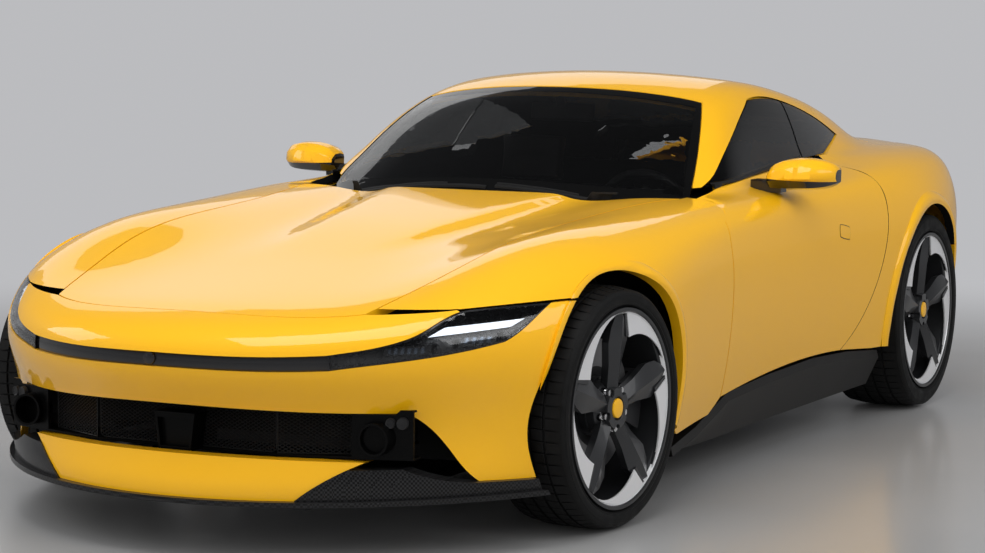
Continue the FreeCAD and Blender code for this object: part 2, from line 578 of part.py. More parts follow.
# The doors: a skin out to the shut lines, and a thick inner body set in from them.
DOOR_REAR = [(-840, 926), (-858, 860), (-850, 760), (-800, 600), (-690, 430), (-504, 290)]
DOOR_FOOT = [(-504, 290), (-199, 297), (195, 284), (541, 262)]
DOOR_TOP = [(206, 862), (178, 866), (-340, 901), (-700, 921), (-840, 926)]
DOOR_INSET = 30.0
door_rays = section_rays(spread(580, -900, 20), spread(-32, 44, 15), 250.0, 600.0)
door_skin = panel(whole, door_rays, SKIN)
door_outline = [DOOR_FRONT, DOOR_SHOULDER, DOOR_TOP, DOOR_REAR, DOOR_FOOT]
door_inner_outline = [[(541 - DOOR_INSET, 300), (546 - DOOR_INSET, 648), (500, 770)], [(500, 770), (180, 830)],
                      [(180, 830), (-340, 868), (-790, 892)], [(-790, 892), (-812, 740), (-760, 600), (-500, 330)],
                      [(-500, 330), (-199, 330), (511, 300)]]
door_body = panel(whole, door_rays, DOOR_THICKNESS, 4.0).common(side_cutter(door_inner_outline))
DOOR_INNER_Y = 752.0
DOOR_RAIL_Z = 822.0
door_room = box(-900, 600, DOOR_INNER_Y, 1000, 200, 1000).fuse(box(-900, 600, DOOR_INNER_Y - 45, 1000, DOOR_RAIL_Z, 1000))
channel = panel(house, house_rays, 16.0, GLASS_SUNK + GLASS + SEAT_GAP)
channel = channel.common(side_cutter(closed([(110, 818), (110, 884), (-340, 916), (-660, 934), (-660, 860)]), 500, 900))
keep_pair("door", door_skin.common(side_cutter(door_outline)).fuse(door_body).common(door_room).fuse(channel))

# The quarter panels: the haunch, the side of the tail and the rear pillar in one pressing.
quarter_outline = [[(-840 - PANEL_GAP, 960), (-840 - PANEL_GAP, 926)], moved(DOOR_REAR, -PANEL_GAP),
                   [(-504 - PANEL_GAP, 290), (-784, 267)], [(-784, 267), (-932, 262)], [(-932, 262), (-1287, 500)], [(-1287, 500), (-1600, 560)],
                   [(-1600, 560), (-1900, 700), (-2100, 745)], [(-2100, 745), (-2190, 1000)], [(-2190, 1000), (ROOF_BACK - SEAT_GAP, 1300)],
                   [(ROOF_BACK - SEAT_GAP, 1300), (ROOF_BACK - SEAT_GAP, 960)], [(ROOF_BACK - SEAT_GAP, 960), (-840 - PANEL_GAP, 960)]]
LID_SIDE = [(-1640, 560), (-1900, 600), (-2120, 540)]
quarter_rays = section_rays(spread(-480, -2200, 32), spread(-32, 78, 19), 230.0, 620.0, 1200.0)
quarter_skin = panel(whole, quarter_rays, SKIN)
lid_hole = plan_cutter([LID_SIDE, [(-2120, 540), (-2400, 440)], [(-2400, 440), (-2400, 0)], [(-2400, 0), (-1570, 0)], [(-1570, 0), (-1570, 500)],
                        [(-1570, 500), (-1640, 560)]], 700)
quarter = quarter_skin.fuse(rear_flare).common(side_cutter(quarter_outline)).cut(glass_pocket.common(side_glass_hole.fuse(rear_screen_hole)))
quarter = quarter.cut(side_glass_way).cut(rear_screen_way).cut(lid_hole).cut(rear_arch)
keep_pair("quarter", quarter)

# The boot lid.
lid_outline = [moved(LID_SIDE, 0, -PANEL_GAP), [(-2120, 535), (-2200, 300), (-2222, 0), (-2200, -300), (-2120, -535)],
               moved(flipped(LID_SIDE), 0, PANEL_GAP), [(-1640, -555), (-1604, -250), (-1606, 0), (-1604, 250), (-1640, 555)]]
lid_half = fair([(-1560, 660), (-2000, 640), (-2180, 520), (-2260, 380)])
lid_skin = panel(whole, lid_rays(spread(-1580, -2260, 13), lid_half, spread(-1, 1, 13), 500.0), SKIN)
lid_ear = box(-1676, -1644, 396, 408, 944, 972).cut(across(-1660.0, 958.0, HINGE_PIN + RUNNING_FIT, 300, 500))
lid_ear_wall = panel(whole, lid_rays(spread(-1580, -2260, 13), lid_half, spread(-1, 1, 13), 500.0), SKIN - 4, -30.0)
lid_ear = box(-1676, -1644, 396, 408, 944, 1000).cut(lid_ear_wall).cut(across(-1660.0, 958.0, HINGE_PIN + RUNNING_FIT, 300, 500))
keep("boot_lid", lid_skin.common(plan_cutter(lid_outline, 600)).fuse(pair(lid_ear)))

# The rear bumper and tail panel.
rear_skin = panel(lower_body, level_rays(spread(230, 905, 15), spread(86, 274, 35), REAR_AXLE - 120), SKIN)
rear_side = side_cutter([[(-1590, 550), (-1895, 694), (-2106, 742)], [(-2106, 742), (-2230, 905)], [(-2230, 905), (-2400, 905)],
                         [(-2400, 905), (-2400, 200)], [(-2400, 200), (-1590, 200)], [(-1590, 200), (-1590, 550)]], -1100, 1100)
keep("rear_bumper", rear_skin.fuse(pair(rear_flare)).common(rear_side).cut(pair(rear_arch)))

# Below the nose: the painted lip, the splitter blade and the intake's mesh.
LIP_PROUD = 14.0
lip_rays = level_rays(spread(150, 290, 6), spread(-40, 40, 21), FRONT_AXLE + 40)
BLADE_TOP = 160.0
LIP_FOOT = BLADE_TOP + SEAT_GAP
lip_outline = [[(-523, 259), (-300, 266), (0, 270), (300, 266), (523, 259)], [(523, 259), (455, 222), (372, LIP_FOOT)],
               [(372, LIP_FOOT), (-372, LIP_FOOT)], [(-372, LIP_FOOT), (-455, 222), (-523, 259)]]
keep("front_lip", panel(lower_body, lip_rays, 45.0, -LIP_PROUD).common(front_cutter(lip_outline, 1500, 2500)))

BLADE_THICKNESS = 14.0
BLADE_OUT = 34.0


def plan_line(form, angles, centre_x, height, level):
    marks = []
    for a in angles:
        way = (math.cos(math.radians(a)), math.sin(math.radians(a)), 0.0)
        marks.append(cast(form, (centre_x, 0.0, height), way, 1400.0, level)[:2])
    return marks


blade_front = plan_line(lower_body, spread(-74, 74, 21), FRONT_AXLE + 40, 180.0, BLADE_OUT)
blade_back = plan_line(lower_body, spread(74, -74, 13), FRONT_AXLE + 40, 180.0, -150.0)
blade_outline = [blade_front, [blade_front[-1], blade_back[0]], blade_back, [blade_back[-1], blade_front[0]]]
blade = plan_cutter(blade_outline, BLADE_TOP - BLADE_THICKNESS, BLADE_TOP)
wing_rays = level_rays(spread(150, 240, 5), spread(20, 74, 15), FRONT_AXLE + 40)
WING_TOP = [(905, 189.4 - SEAT_GAP), (745, 196 - SEAT_GAP)]
wing_outline = [[(460, 156), (905, 156)], [(905, 156), WING_TOP[0]], WING_TOP, [WING_TOP[1], (660, 216), (590, 250)],
                [(590, 250), (530, 262), (372, 158)], [(372, 158), (460, 156)]]
lip_room = front_cutter(inset(lip_outline, -SEAT_GAP), 1500, 2500)
wing = panel(lower_body, wing_rays, 40.0, -20.0).common(front_cutter(wing_outline, 1500, 2500)).cut(lip_room)
splitter = blade.fuse(wing).fuse(mirrored(wing)).cut(lamp_room).cut(mirrored(lamp_room))
keep("splitter", splitter)


def lattice(length, height, pitch_along, pitch_up, bar, depth):
    """A flat mesh of diamonds in (y, z), centred, with a plain border."""
    rim = Part.makePolygon([V(0, a, b) for a, b in ((-length / 2, -height / 2), (length / 2, -height / 2),
                                                    (length / 2, height / 2), (-length / 2, height / 2), (-length / 2, -height / 2))])
    holes = []
    across_count = int((length - bar) / pitch_along)
    up_count = int((height - bar) / pitch_up)
    for row in range(2 * up_count - 1):
        count = across_count - row % 2
        for k in range(count):
            y = (k - (count - 1) / 2) * pitch_along
            z = (row - (2 * up_count - 2) / 2) * pitch_up / 2
            a, b = pitch_along / 2 - bar, pitch_up / 2 - bar * pitch_up / pitch_along
            holes.append(Part.makePolygon([V(0, y - a, z), V(0, y, z - b), V(0, y + a, z), V(0, y, z + b), V(0, y - a, z)]))
    plate = Part.Face([rim] + holes)
    plate.validate()
    return plate.extrude(V(depth, 0, 0))


MESH_PITCH = 44.0
MESH_RISE = 22.0
MESH_BAR = 5.0
MESH_DEPTH = 8.0
MESH_FOOT = 272.0
MESH_HEIGHT = 120.0
MESH_X = 2140.0
FRAME_WALL = 6.0
BEAM_FRONT = 2010.0
mesh = lattice(560, MESH_HEIGHT, MESH_PITCH, MESH_RISE, MESH_BAR, MESH_DEPTH)
mesh.translate(V(MESH_X, 0, MESH_FOOT + MESH_HEIGHT / 2))
mesh_side = lattice(210, MESH_HEIGHT, MESH_PITCH, MESH_RISE, MESH_BAR, MESH_DEPTH)
mesh_side.rotate(V(0, 0, 0), V(0, 0, 1), 24)
mesh_side.translate(V(MESH_X - 36, 382, MESH_FOOT + MESH_HEIGHT / 2))

# The dark carrier behind the nose holds the mesh, a sensor box, two fog ducts and plain side plates.
frame_plan = closed([(BEAM_FRONT + SEAT_GAP, -640), (BEAM_FRONT + SEAT_GAP, 640), (2052, 640), (2092, 520), (2156, 290), (2166, 0),
                     (2156, -290), (2092, -520), (2052, -640)])
mesh_top = MESH_FOOT + MESH_HEIGHT + SEAT_GAP
frame = plan_cutter(frame_plan, mesh_top, mesh_top + FRAME_WALL).fuse(
    plan_cutter(frame_plan, MESH_FOOT - SEAT_GAP - FRAME_WALL, MESH_FOOT - SEAT_GAP))
for side in (1, -1):
    plate = closed([(2046, side * 640), (2052, side * 640), (2092, side * 520), (2104, side * 484), (2098, side * 482), (2086, side * 518)])
    duct = rod((2050, side * 552, 322), (2112, side * 552, 322), 44).cut(rod((2070, side * 552, 322), (2120, side * 552, 322), 38))
    frame = frame.fuse([plan_cutter(plate, MESH_FOOT - 1, mesh_top + 1), duct])
sensor = front_cutter(closed([(-64, 368), (64, 368), (50, 266), (-50, 266)]), MESH_X - 60, 2206)
sensor = sensor.cut(front_cutter(closed([(-54, 352), (54, 352), (45, 276), (-45, 276)]), 2190, 2300))
sensor_room = front_cutter(closed([(-64.3, 368.3), (64.3, 368.3), (50.3, 260), (-50.3, 260)]), MESH_X - 60, 2206)
bumper_wall = panel(lower_body, bumper_rays, SEAT_DEPTH, -PROUD).common(front_cutter(bumper_outline, 1300, 2500))
keep("intake_frame", seated(frame.fuse(sensor), bumper_wall))
keep("grille", Part.makeCompound([mesh.cut(sensor_room)] + pair(mesh_side)))

# The sills: dark blades below the doors, from arch to arch.
POST_OUTER = 745.0
SILL_INNER = POST_OUTER + SEAT_GAP
sill_sections = []
for x, top, foot in ((930, 160, 128), (700, 188, 122), (450, 262, 118), (100, 275, 118), (-300, 284, 120), (-600, 274, 124), (-860, 252, 130)):
    out = cast(lower_body, (x, 0, top), (0, 1, 0), 1200)[1] - 4
    sill_sections.append(Part.makePolygon([V(x, SILL_INNER, foot), V(x, out - 44, foot), V(x, out, top - 26), V(x, out - 6, top),
                                           V(x, SILL_INNER, top), V(x, SILL_INNER, foot)]))
keep("sills", Part.makeCompound([Part.makeLoft(sill_sections, True, True), mirrored(Part.makeLoft(sill_sections, True, True))]))

# The door mirrors: a painted cap on a black foot.
MIRROR_X = -75.0
MIRROR_Z = 910.0


def mirror_section(y, dx, dz, half_x, half_z):
    """A rounded section of the mirror, flat towards the rear where its glass lies."""
    marks = [(-0.55, -0.80), (0.0, -1.0), (0.62, -0.86), (1.0, -0.25), (0.92, 0.45), (0.5, 0.92), (-0.1, 1.0), (-0.62, 0.84)]
    wire = [V(MIRROR_X + dx + half_x * a, y, MIRROR_Z + dz + half_z * b) for a, b in marks]
    return Part.makePolygon(wire + wire[:1])


mirror_sections = [mirror_section(*values) for values in (
    (806, 6, -18, 44, 24), (832, 6, -8, 70, 42), (880, 2, 0, 82, 50), (950, -6, 2, 80, 50), (1002, -20, 0, 62, 40), (1026, -32, -4, 34, 22))]
mirror = Part.makeLoft(mirror_sections, True)
mirror = mirror.cut(box(MIRROR_X - 200, MIRROR_X - 46, 828, 1020, 875, 945))
stalk = face(closed([(MIRROR_X + 30, 745), (MIRROR_X + 30, 850), (MIRROR_X - 20, 850), (MIRROR_X - 34, 745)]),
             lambda x, y: V(x, y, 850)).extrude(V(0, 0, 40))
door_wall = panel(whole, door_rays, 200.0, -SEAT_GAP)
mirror = max(mirror.fuse(stalk).cut(door_wall).Solids, key=lambda piece: piece.Volume)
keep_pair("mirror", mirror)

# The tail: slim lamps, diffuser and exhaust.
LAMP_ROW = [[(395, 800), (600, 806), (800, 812)], [(800, 812), (800, 788)], [(800, 788), (600, 782), (395, 778)], [(395, 778), (395, 800)]]
tail_rays = level_rays(spread(740, 850, 5), spread(110, 180, 15), REAR_AXLE - 120)
tail_lamp = panel(lower_body, tail_rays, 24.0, -1.0).common(front_cutter(LAMP_ROW, -2500, -1500))
tail_hole = front_cutter(inset(LAMP_ROW, -LAMP_GAP), -2500, -1500)
PARTS["rear_bumper"] = PARTS["rear_bumper"].cut(tail_hole).cut(mirrored(tail_hole)).cut(box(-2400, -1700, -645, 645, 100, 385))
keep_pair("quarter", PARTS["quarter_left"].cut(tail_hole))
keep("tail_lamps", Part.makeCompound([tail_lamp, mirrored(tail_lamp)]))
TAIL_CUT = 385.0
diffuser_top = TAIL_CUT - SEAT_GAP
diffuser_outline = closed([(-2262, diffuser_top), (-2290, 300), (-2200, 190), (-1780, 128), (-1780, 140), (-2190, 206), (-2262, 306),
                           (-2240, diffuser_top)])
diffuser = side_cutter(diffuser_outline, -640, 640)
for y in (-420, -220, 0, 220, 420):
    fin = closed([(-2250, 196), (-2250, 250), (-2190, 206), (-1820, 146), (-1860, 122), (-2180, 150)])
    diffuser = diffuser.fuse(side_cutter(fin, y - 4, y + 4))
keep("diffuser", diffuser)
PIPE_RADIUS = 46.0
pipes = []
for y in (470, 585):
    pipe = rod((-2305, y, 300), (-2120, y, 300), PIPE_RADIUS).cut(rod((-2310, y, 300), (-2150, y, 300), PIPE_RADIUS - 5))
    pipes += [pipe, mirrored(pipe)]
PIPE_HOLE = PIPE_RADIUS + 6
for y in (470, 585, -470, -585):
    PARTS["diffuser"] = PARTS["diffuser"].cut(rod((-2400, y, 300), (-2000, y, 300), PIPE_HOLE))
BOOT_FLOOR = 366.0
silencer = box(-2120, -1900, -640, 640, 220, 352).fuse([box(-2060, -2020, y, y + 30, 350, BOOT_FLOOR - SEAT_GAP) for y in (-330, 300)])
keep("exhaust", Part.makeCompound([silencer.fuse(pipes)]))

# Wheels, built about the Y axis with their outer side at +Y.
RIM_SEAT = 267.0
RIM_LIP = 281.0
BOLT_CIRCLE = 114.3
BOLT_RADIUS = 8.0
HUB_FACE = 44.0
SPINDLE = 20.0
TURNS = 60


def turned(marks):
    """A solid of revolution about the Y axis from (y, radius) marks."""
    wire = Part.makePolygon([V(r, y, 0) for y, r in marks + marks[:1]])
    return Part.Face(wire).revolve(V(0, 0, 0), V(0, 1, 0), 360)


def tyre(radius, width):
    half = width / 2
    side = [(half - 20, RIM_SEAT + SEAT_GAP), (half - 17, RIM_LIP + 2), (half - 12, RIM_LIP + 4), (half, RIM_LIP + 22), (half - 4, radius - 18), (half - 22, radius - 3)]
    return turned(side + [(0, radius)] + [(-y, r) for y, r in side[::-1]])


def facets(corners, sides):
    shell = Part.makeShell([Part.Face(Part.makePolygon([V(*corners[k]) for k in side + side[:1]])) for side in sides])
    shell.sewShape()
    solid = Part.Solid(shell)
    if solid.Volume < 0:
        solid.reverse()
    return solid


def spoke(face_y):
    """A blade along +Z: narrow at the hub, broadest past its middle, with a ridge, and a point at the rim."""
    stations = ((50, 27, 24, 14), (120, 34, 15, 8), (188, 52, 6, 2), (230, 42, 3, 0), (262, 18, 2, 0))
    corners = []
    for z, half, drop, ridge in stations:
        corners += [(-half + 6, face_y - drop - 34, z), (half - 6, face_y - drop - 34, z), (half, face_y - drop - 9, z), (0, face_y - ridge, z),
                    (-half, face_y - drop - 9, z)]
    sides = [[0, 1, 2, 3, 4], [24, 23, 22, 21, 20]]
    for k in range(0, 20, 5):
        for a in range(5):
            b = (a + 1) % 5
            sides += [[k + a, k + 5 + a, k + b], [k + b, k + 5 + a, k + 5 + b]]
    return facets(corners, sides)


def crescent(face_y):
    """A sickle-shaped web on the rim's face, wide behind one spoke's top and running out before the next."""
    outer = [(-265 * math.sin(math.radians(a)), 265 * math.cos(math.radians(a))) for a in spread(4, 62, 10)]
    inner = [(-r * math.sin(math.radians(a)), r * math.cos(math.radians(a)))
             for a, r in zip(spread(62, 8, 10), (262, 259, 255, 250, 244, 236, 228, 219, 209, 200))]
    return face(closed(outer + inner), lambda x, z: V(x, face_y - 12, z)).extrude(V(0, 8, 0))


def rim(width):
    half = width / 2 - 8
    wheel = turned([(-half, RIM_SEAT - 10), (-half, RIM_LIP), (-half + 7, RIM_LIP), (-half + 9, RIM_SEAT), (half - 9, RIM_SEAT), (half - 6, RIM_LIP),
                    (half + 4, RIM_LIP), (half + 4, RIM_LIP - 9), (half - 16, 258), (0, 250)])
    hub = turned([(HUB_FACE, SPINDLE + RUNNING_FIT), (HUB_FACE, 78), (HUB_FACE + 22, 74), (half - 34, 62), (half - 12, 58), (half - 12, 34), (half - 20, 30),
                  (half - 20, 0), (HUB_FACE + 8, 0), (HUB_FACE + 8, SPINDLE + RUNNING_FIT)])
    arms = []
    for k in range(5):
        for piece in (spoke(half), crescent(half)):
            piece.rotate(V(0, 0, 0), V(0, 1, 0), 72 * k)
            arms.append(piece)
    disc = turned([(-4, 110), (-4, 190), (26, 190), (26, 110), (22, 84), (HUB_FACE, 84), (HUB_FACE, SPINDLE + RUNNING_FIT), (6, SPINDLE + RUNNING_FIT),
                   (6, 78), (14, 78)])
    wheel = wheel.fuse([hub] + arms)
    for k in range(5):
        angle = math.radians(72 * k + 36)
        x, z = BOLT_CIRCLE / 2 * math.sin(angle), BOLT_CIRCLE / 2 * math.cos(angle)
        wheel = wheel.cut(rod((x, HUB_FACE + 26, z), (x, half + 30, z), BOLT_RADIUS + 5))
        wheel = wheel.fuse(rod((x, HUB_FACE + 20, z), (x, HUB_FACE + 40, z), BOLT_RADIUS))
    return wheel.fuse(disc)


# Knuckles: upright, spindle, ears for the arms, and the brake caliper bolted to it.
KINGPIN = 35.0
LOWER_EAR = -135.0
UPPER_EAR = 150.0
PIN_RADIUS = 10.0


def knuckle(caliper_angle):
    upright = box(-45, 45, -78, -48, LOWER_EAR, UPPER_EAR)
    boss = turned([(-78, 0), (-78, 62), (-12, 62), (-12, SPINDLE), (HUB_FACE, SPINDLE), (HUB_FACE, 0)])
    ears = box(-26, 26, -60, -KINGPIN + 22, LOWER_EAR, LOWER_EAR + 26).fuse(box(-26, 26, -60, -KINGPIN + 22, UPPER_EAR - 26, UPPER_EAR))
    hole = rod((0, -KINGPIN, LOWER_EAR - 50), (0, -KINGPIN, UPPER_EAR + 50), PIN_RADIUS + RUNNING_FIT)
    caliper = turned([(-34, 132), (-34, 216), (56, 216), (56, 132), (34, 132), (34, 198), (-12, 198), (-12, 132)])
    caliper = caliper.common(face([[(0, 0), (300, -130)], [(300, -130), (300, 130)], [(300, 130), (0, 0)]],
                                  lambda x, z: V(x, -200, z)).extrude(V(0, 400, 0)))
    bracket = box(120, 175, -78, -30, -60, 60).fuse(box(0, 130, -78, -54, -40, 40))
    caliper = caliper.fuse(bracket)
    caliper.rotate(V(0, 0, 0), V(0, 1, 0), caliper_angle)
    return upright.fuse([boss, ears, caliper]).cut(hole)


def at_wheel(shape, axle_x, track, radius):
    placed = shape.copy()
    placed.translate(V(axle_x, track / 2, radius))
    return placed


# The front wheels are built turned a little to the right, both about their kingpins.
REST_STEER = -5.0


def steered(shape, side):
    turned_shape = shape.copy()
    turned_shape.rotate(V(FRONT_AXLE, side * (FRONT_TRACK / 2 - KINGPIN), 0), V(0, 0, 1), REST_STEER)
    return turned_shape


for end, axle_x, track, radius, width, caliper_angle in (
        ("front", FRONT_AXLE, FRONT_TRACK, FRONT_TYRE_RADIUS, FRONT_TYRE_WIDTH, 180.0),
        ("rear", REAR_AXLE, REAR_TRACK, REAR_TYRE_RADIUS, REAR_TYRE_WIDTH, 0.0)):
    for name, shape in (("tyre_", tyre(radius, width)), ("rim_", rim(width)), ("knuckle_", knuckle(caliper_angle))):
        placed = at_wheel(shape, axle_x, track, radius)
        keep_pair(name + end, placed)
        if end == "front":
            keep(name + "front_left", steered(placed, 1))
            keep(name + "front_right", steered(mirrored(placed), -1))

# Suspension arms, pinned to the ears of each knuckle and to the subframes.
ARM_THICKNESS = 22.0


def arms(axle_x, track, radius, inner_y, spread_x):
    pin_y = track / 2 - KINGPIN
    solids = []
    for level, way in ((LOWER_EAR, -1), (UPPER_EAR, 1)):
        seat = radius + level + way * 0.3
        z0 = min(seat, seat + way * ARM_THICKNESS)
        plate = face(closed([(axle_x - spread_x, inner_y), (axle_x - spread_x + 50, inner_y), (axle_x, pin_y - 90), (axle_x + spread_x - 50, inner_y),
                             (axle_x + spread_x, inner_y), (axle_x + 22, pin_y + 16), (axle_x - 22, pin_y + 16)]),
                     lambda x, y: V(x, y, z0)).extrude(V(0, 0, ARM_THICKNESS))
        pin = rod((axle_x, pin_y, seat), (axle_x, pin_y, seat - way * 24), PIN_RADIUS)
        solids.append(plate.fuse(pin))
    return solids


SUBFRAME_HALF = 430.0
front_arms = arms(FRONT_AXLE, FRONT_TRACK, FRONT_TYRE_RADIUS, SUBFRAME_HALF, 150)
rear_arms = arms(REAR_AXLE, REAR_TRACK, REAR_TYRE_RADIUS, SUBFRAME_HALF, 150)


def subframe(axle_x, radius):
    low, high = radius + LOWER_EAR, radius + UPPER_EAR
    rails = []
    for x in (axle_x - 150, axle_x + 100):
        rails.append(box(x, x + 50, -SUBFRAME_HALF + 0.3, SUBFRAME_HALF - 0.3, low - 30, low + 10))
        rails.append(box(x, x + 50, SUBFRAME_HALF - 50, SUBFRAME_HALF - 0.3, low - 30, high + 40))
        rails.append(box(x, x + 50, -SUBFRAME_HALF + 0.3, -SUBFRAME_HALF + 50, low - 30, high + 40))
    for y in (SUBFRAME_HALF - 50, -SUBFRAME_HALF + 0.3):
        rails.append(box(axle_x - 150, axle_x + 150, y, y + 49.7, low - 30, low + 10))
        rails.append(box(axle_x - 150, axle_x + 150, y, y + 49.7, high, high + 40))
    return rails[0].fuse(rails[1:])


keep("front_suspension", Part.makeCompound([subframe(FRONT_AXLE, FRONT_TYRE_RADIUS)] + front_arms + [mirrored(arm) for arm in front_arms]))
drive = subframe(REAR_AXLE, REAR_TYRE_RADIUS).fuse(box(REAR_AXLE - 140, REAR_AXLE + 120, -150, 150, 210, 460))
shaft_end = REAR_TRACK / 2 - 78.3
drive = drive.fuse(rod((REAR_AXLE, -shaft_end, REAR_TYRE_RADIUS), (REAR_AXLE, shaft_end, REAR_TYRE_RADIUS), 22))
keep("rear_suspension", Part.makeCompound([drive] + rear_arms + [mirrored(arm) for arm in rear_arms]))

# The shell inside: floor, tunnel, bulkheads, pillars and the boot's floor.
FLOOR = 140.0
floor = side_cutter(closed([(700, FLOOR), (700, 780), (690, 780), (670, 190), (560, FLOOR + 20), (-980, FLOOR + 20), (-1000, 330), (-1010, 880),
                            (-1030, 880), (-1020, 574), (-1500, 574), (-1514, 380), (-2080, 380),
                            (-2080, 366), (-1500, 366), (-1486, 560), (-1018, 560), (-1000, FLOOR)]), -500, 500)
floor = floor.fuse(side_cutter(closed([(700, FLOOR), (700, 780), (690, 780), (670, 190), (560, FLOOR + 20), (-878, FLOOR + 20), (-878, FLOOR)]),
                               -730, 730))
tunnel = front_cutter(closed([(-138, FLOOR + 10), (-112, 400), (112, 400), (138, FLOOR + 10), (120, FLOOR + 10), (98, 385), (-98, 385),
                              (-120, FLOOR + 10)]), -980, 680)
posts = []
for y in (1, -1):
    low, high = sorted((y * (POST_OUTER - 30), y * POST_OUTER))
    posts += [box(560, 700, low, high, FLOOR, 800), box(-878, -838, low, high, FLOOR, 800), box(-878, 700, low, high, FLOOR, 255)]
RAIL_INNER = SUBFRAME_HALF
FRONT_LINER_INNER = 500.0
REAR_LINER_INNER = 530.0
FRONT_RAIL_OUTER = FRONT_LINER_INNER - SEAT_GAP
REAR_RAIL_OUTER = REAR_LINER_INNER - SEAT_GAP
rails = [box(690, BEAM_FRONT, RAIL_INNER, FRONT_RAIL_OUTER, 300, 400), box(-2080, -1010, RAIL_INNER, REAR_RAIL_OUTER, 380, 440)]
rails += [box(x, x + 40, RAIL_INNER, 499, 380, 562) for x in (-1490, -1100)]
fender_wall = panel(lower_body, fender_rays, SEAT_DEPTH, -PROUD)
fender_stay = seated(box(600, 640, 740, 1050, 690, 730), fender_wall)
bumper_stay = seated(box(BEAM_FRONT - 40, 2300, 380, 420, 404, 440), bumper_wall)
beam = box(BEAM_FRONT - 40, BEAM_FRONT, -600, 600, 300, 410)
header = box(-1574, -1542, -450, 450, 930, 980)
header_posts = [box(-1574, -1542, y, y + 30, 370, 980) for y in (420, -450)]
rear_wall = panel(lower_body, level_rays(spread(230, 905, 15), spread(86, 274, 35), REAR_AXLE - 120), SEAT_DEPTH, -PROUD)
rear_stay = seated(box(-2400, -2060, 380, 420, 370, 430), rear_wall)
BOOT_HINGE = (-1660.0, 958.0)
hinge_arm = side_cutter(closed([(-1668, 961), (-1658, 962), (-1655, 955), (-1652, 900), (-1560, 856), (-1560, 826), (-1668, 880)]), 410.3, 422)
hinge_pin = across(*BOOT_HINGE, HINGE_PIN, 394, 412)
stays = [beam, header] + header_posts
for piece in rails + [fender_stay, bumper_stay, rear_stay, hinge_arm.fuse(hinge_pin)]:
    stays += pair(piece)
keep("body_shell", floor.fuse([tunnel] + posts + stays))
PARTS["intake_frame"] = PARTS["intake_frame"].cut(PARTS["body_shell"])

tray = face(closed([(2080, 330), (1790, 440), (980, 440), (960, 760), (-840, 790), (-860, 480), (-1760, 440), (-1760, -440), (-860, -480), (-840, -790),
                    (960, -760), (980, -440), (1790, -440), (2080, -330)]), lambda x, y: V(x, y, 112)).extrude(V(0, 0, 6))
keep("undertray", tray)
liners = []
for axle_x, arch, inside, outside in ((FRONT_AXLE, FRONT_ARCH_RADIUS, FRONT_LINER_INNER, 755), (REAR_AXLE, REAR_ARCH_RADIUS, REAR_LINER_INNER, 820)):
    reach = arch + LINER_GAP
    radius = FRONT_TYRE_RADIUS if axle_x > 0 else REAR_TYRE_RADIUS
    ring = across(axle_x, radius, reach + LINER_WALL, inside, outside).cut(across(axle_x, radius, reach, inside + LINER_WALL, outside + 1))
    ring = ring.cut(box(axle_x - 500, axle_x + 500, 400, 1000, -200, radius - 120))
    ring = ring.cut(box(axle_x - 160, axle_x + 160, inside - 1, inside + 6, 0, radius + 210))
    liners += [ring, mirrored(ring)]
keep("wheel_liners", Part.makeCompound(liners))

# The engine, as one plain block behind the front axle.
engine = box(760, 1400, -290, 290, 215.3, 640)
keep("engine", engine)

# The cabin: dashboard with console, steering wheel, seats.
dash_outline = [[(420, 786), (250, 800), (60, 786)], [(60, 786), (20, 760), (30, 700)], [(30, 700), (200, 560), (420, 520)], [(420, 520), (420, 786)]]
dashboard = side_cutter(dash_outline, -570, 570)
console = side_cutter([[(80, 600), (-40, 520), (-300, 490)], [(-300, 490), (-700, 480)], [(-700, 480), (-700, 400.3)], [(-700, 400.3), (300, 400.3)],
                       [(300, 400.3), (300, 580)], [(300, 580), (80, 600)]], -100, 100)
DRIVER_Y = 360.0
wheel_ring = Part.makeTorus(172, 15, V(0, 0, 0), V(1, 0, 0))
wheel_ring = wheel_ring.fuse([box(-12, 8, -165, 165, -16, 16), box(-12, 8, -16, 16, -165, 0), Part.makeCylinder(52, 40, V(-16, 0, 0), V(1, 0, 0)),
                              Part.makeCylinder(30, 150, V(0, 0, 0), V(1, 0, 0))])
wheel_ring.rotate(V(0, 0, 0), V(0, 1, 0), 22)
wheel_ring.translate(V(-105, DRIVER_Y, 735))
keep("steering_wheel", wheel_ring)
keep("dashboard", dashboard.cut(wheel_ring))
keep("console", console.cut(dashboard))


def seat_side(x, z):
    """A front seat from the side: cushion, back and headrest."""
    cushion = side_cutter([[(x + 500, z + 40), (x + 505, z + 110), (x + 460, z + 150)], [(x + 460, z + 150), (x + 200, z + 120), (x + 60, z + 110)],
                           [(x + 60, z + 110), (x + 60, z + 20)], [(x + 60, z + 20), (x + 500, z + 40)]], DRIVER_Y - 215, DRIVER_Y + 215)
    back = side_cutter([[(x + 50, z + 20), (x + 50, z + 120), (x + 20, z + 300), (x - 90, z + 600)], [(x - 90, z + 600), (x - 120, z + 640), (x - 160, z + 630)],
                        [(x - 160, z + 630), (x - 110, z + 300), (x - 60, z + 60)], [(x - 60, z + 60), (x + 50, z + 20)]], DRIVER_Y - 212, DRIVER_Y + 212)
    head = side_cutter([[(x - 100, z + 620), (x - 90, z + 720), (x - 110, z + 790)], [(x - 110, z + 790), (x - 150, z + 800), (x - 175, z + 770)],
                        [(x - 175, z + 770), (x - 165, z + 620)], [(x - 165, z + 620), (x - 100, z + 620)]], DRIVER_Y - 130, DRIVER_Y + 130)
    return [cushion, back.fuse(head)]


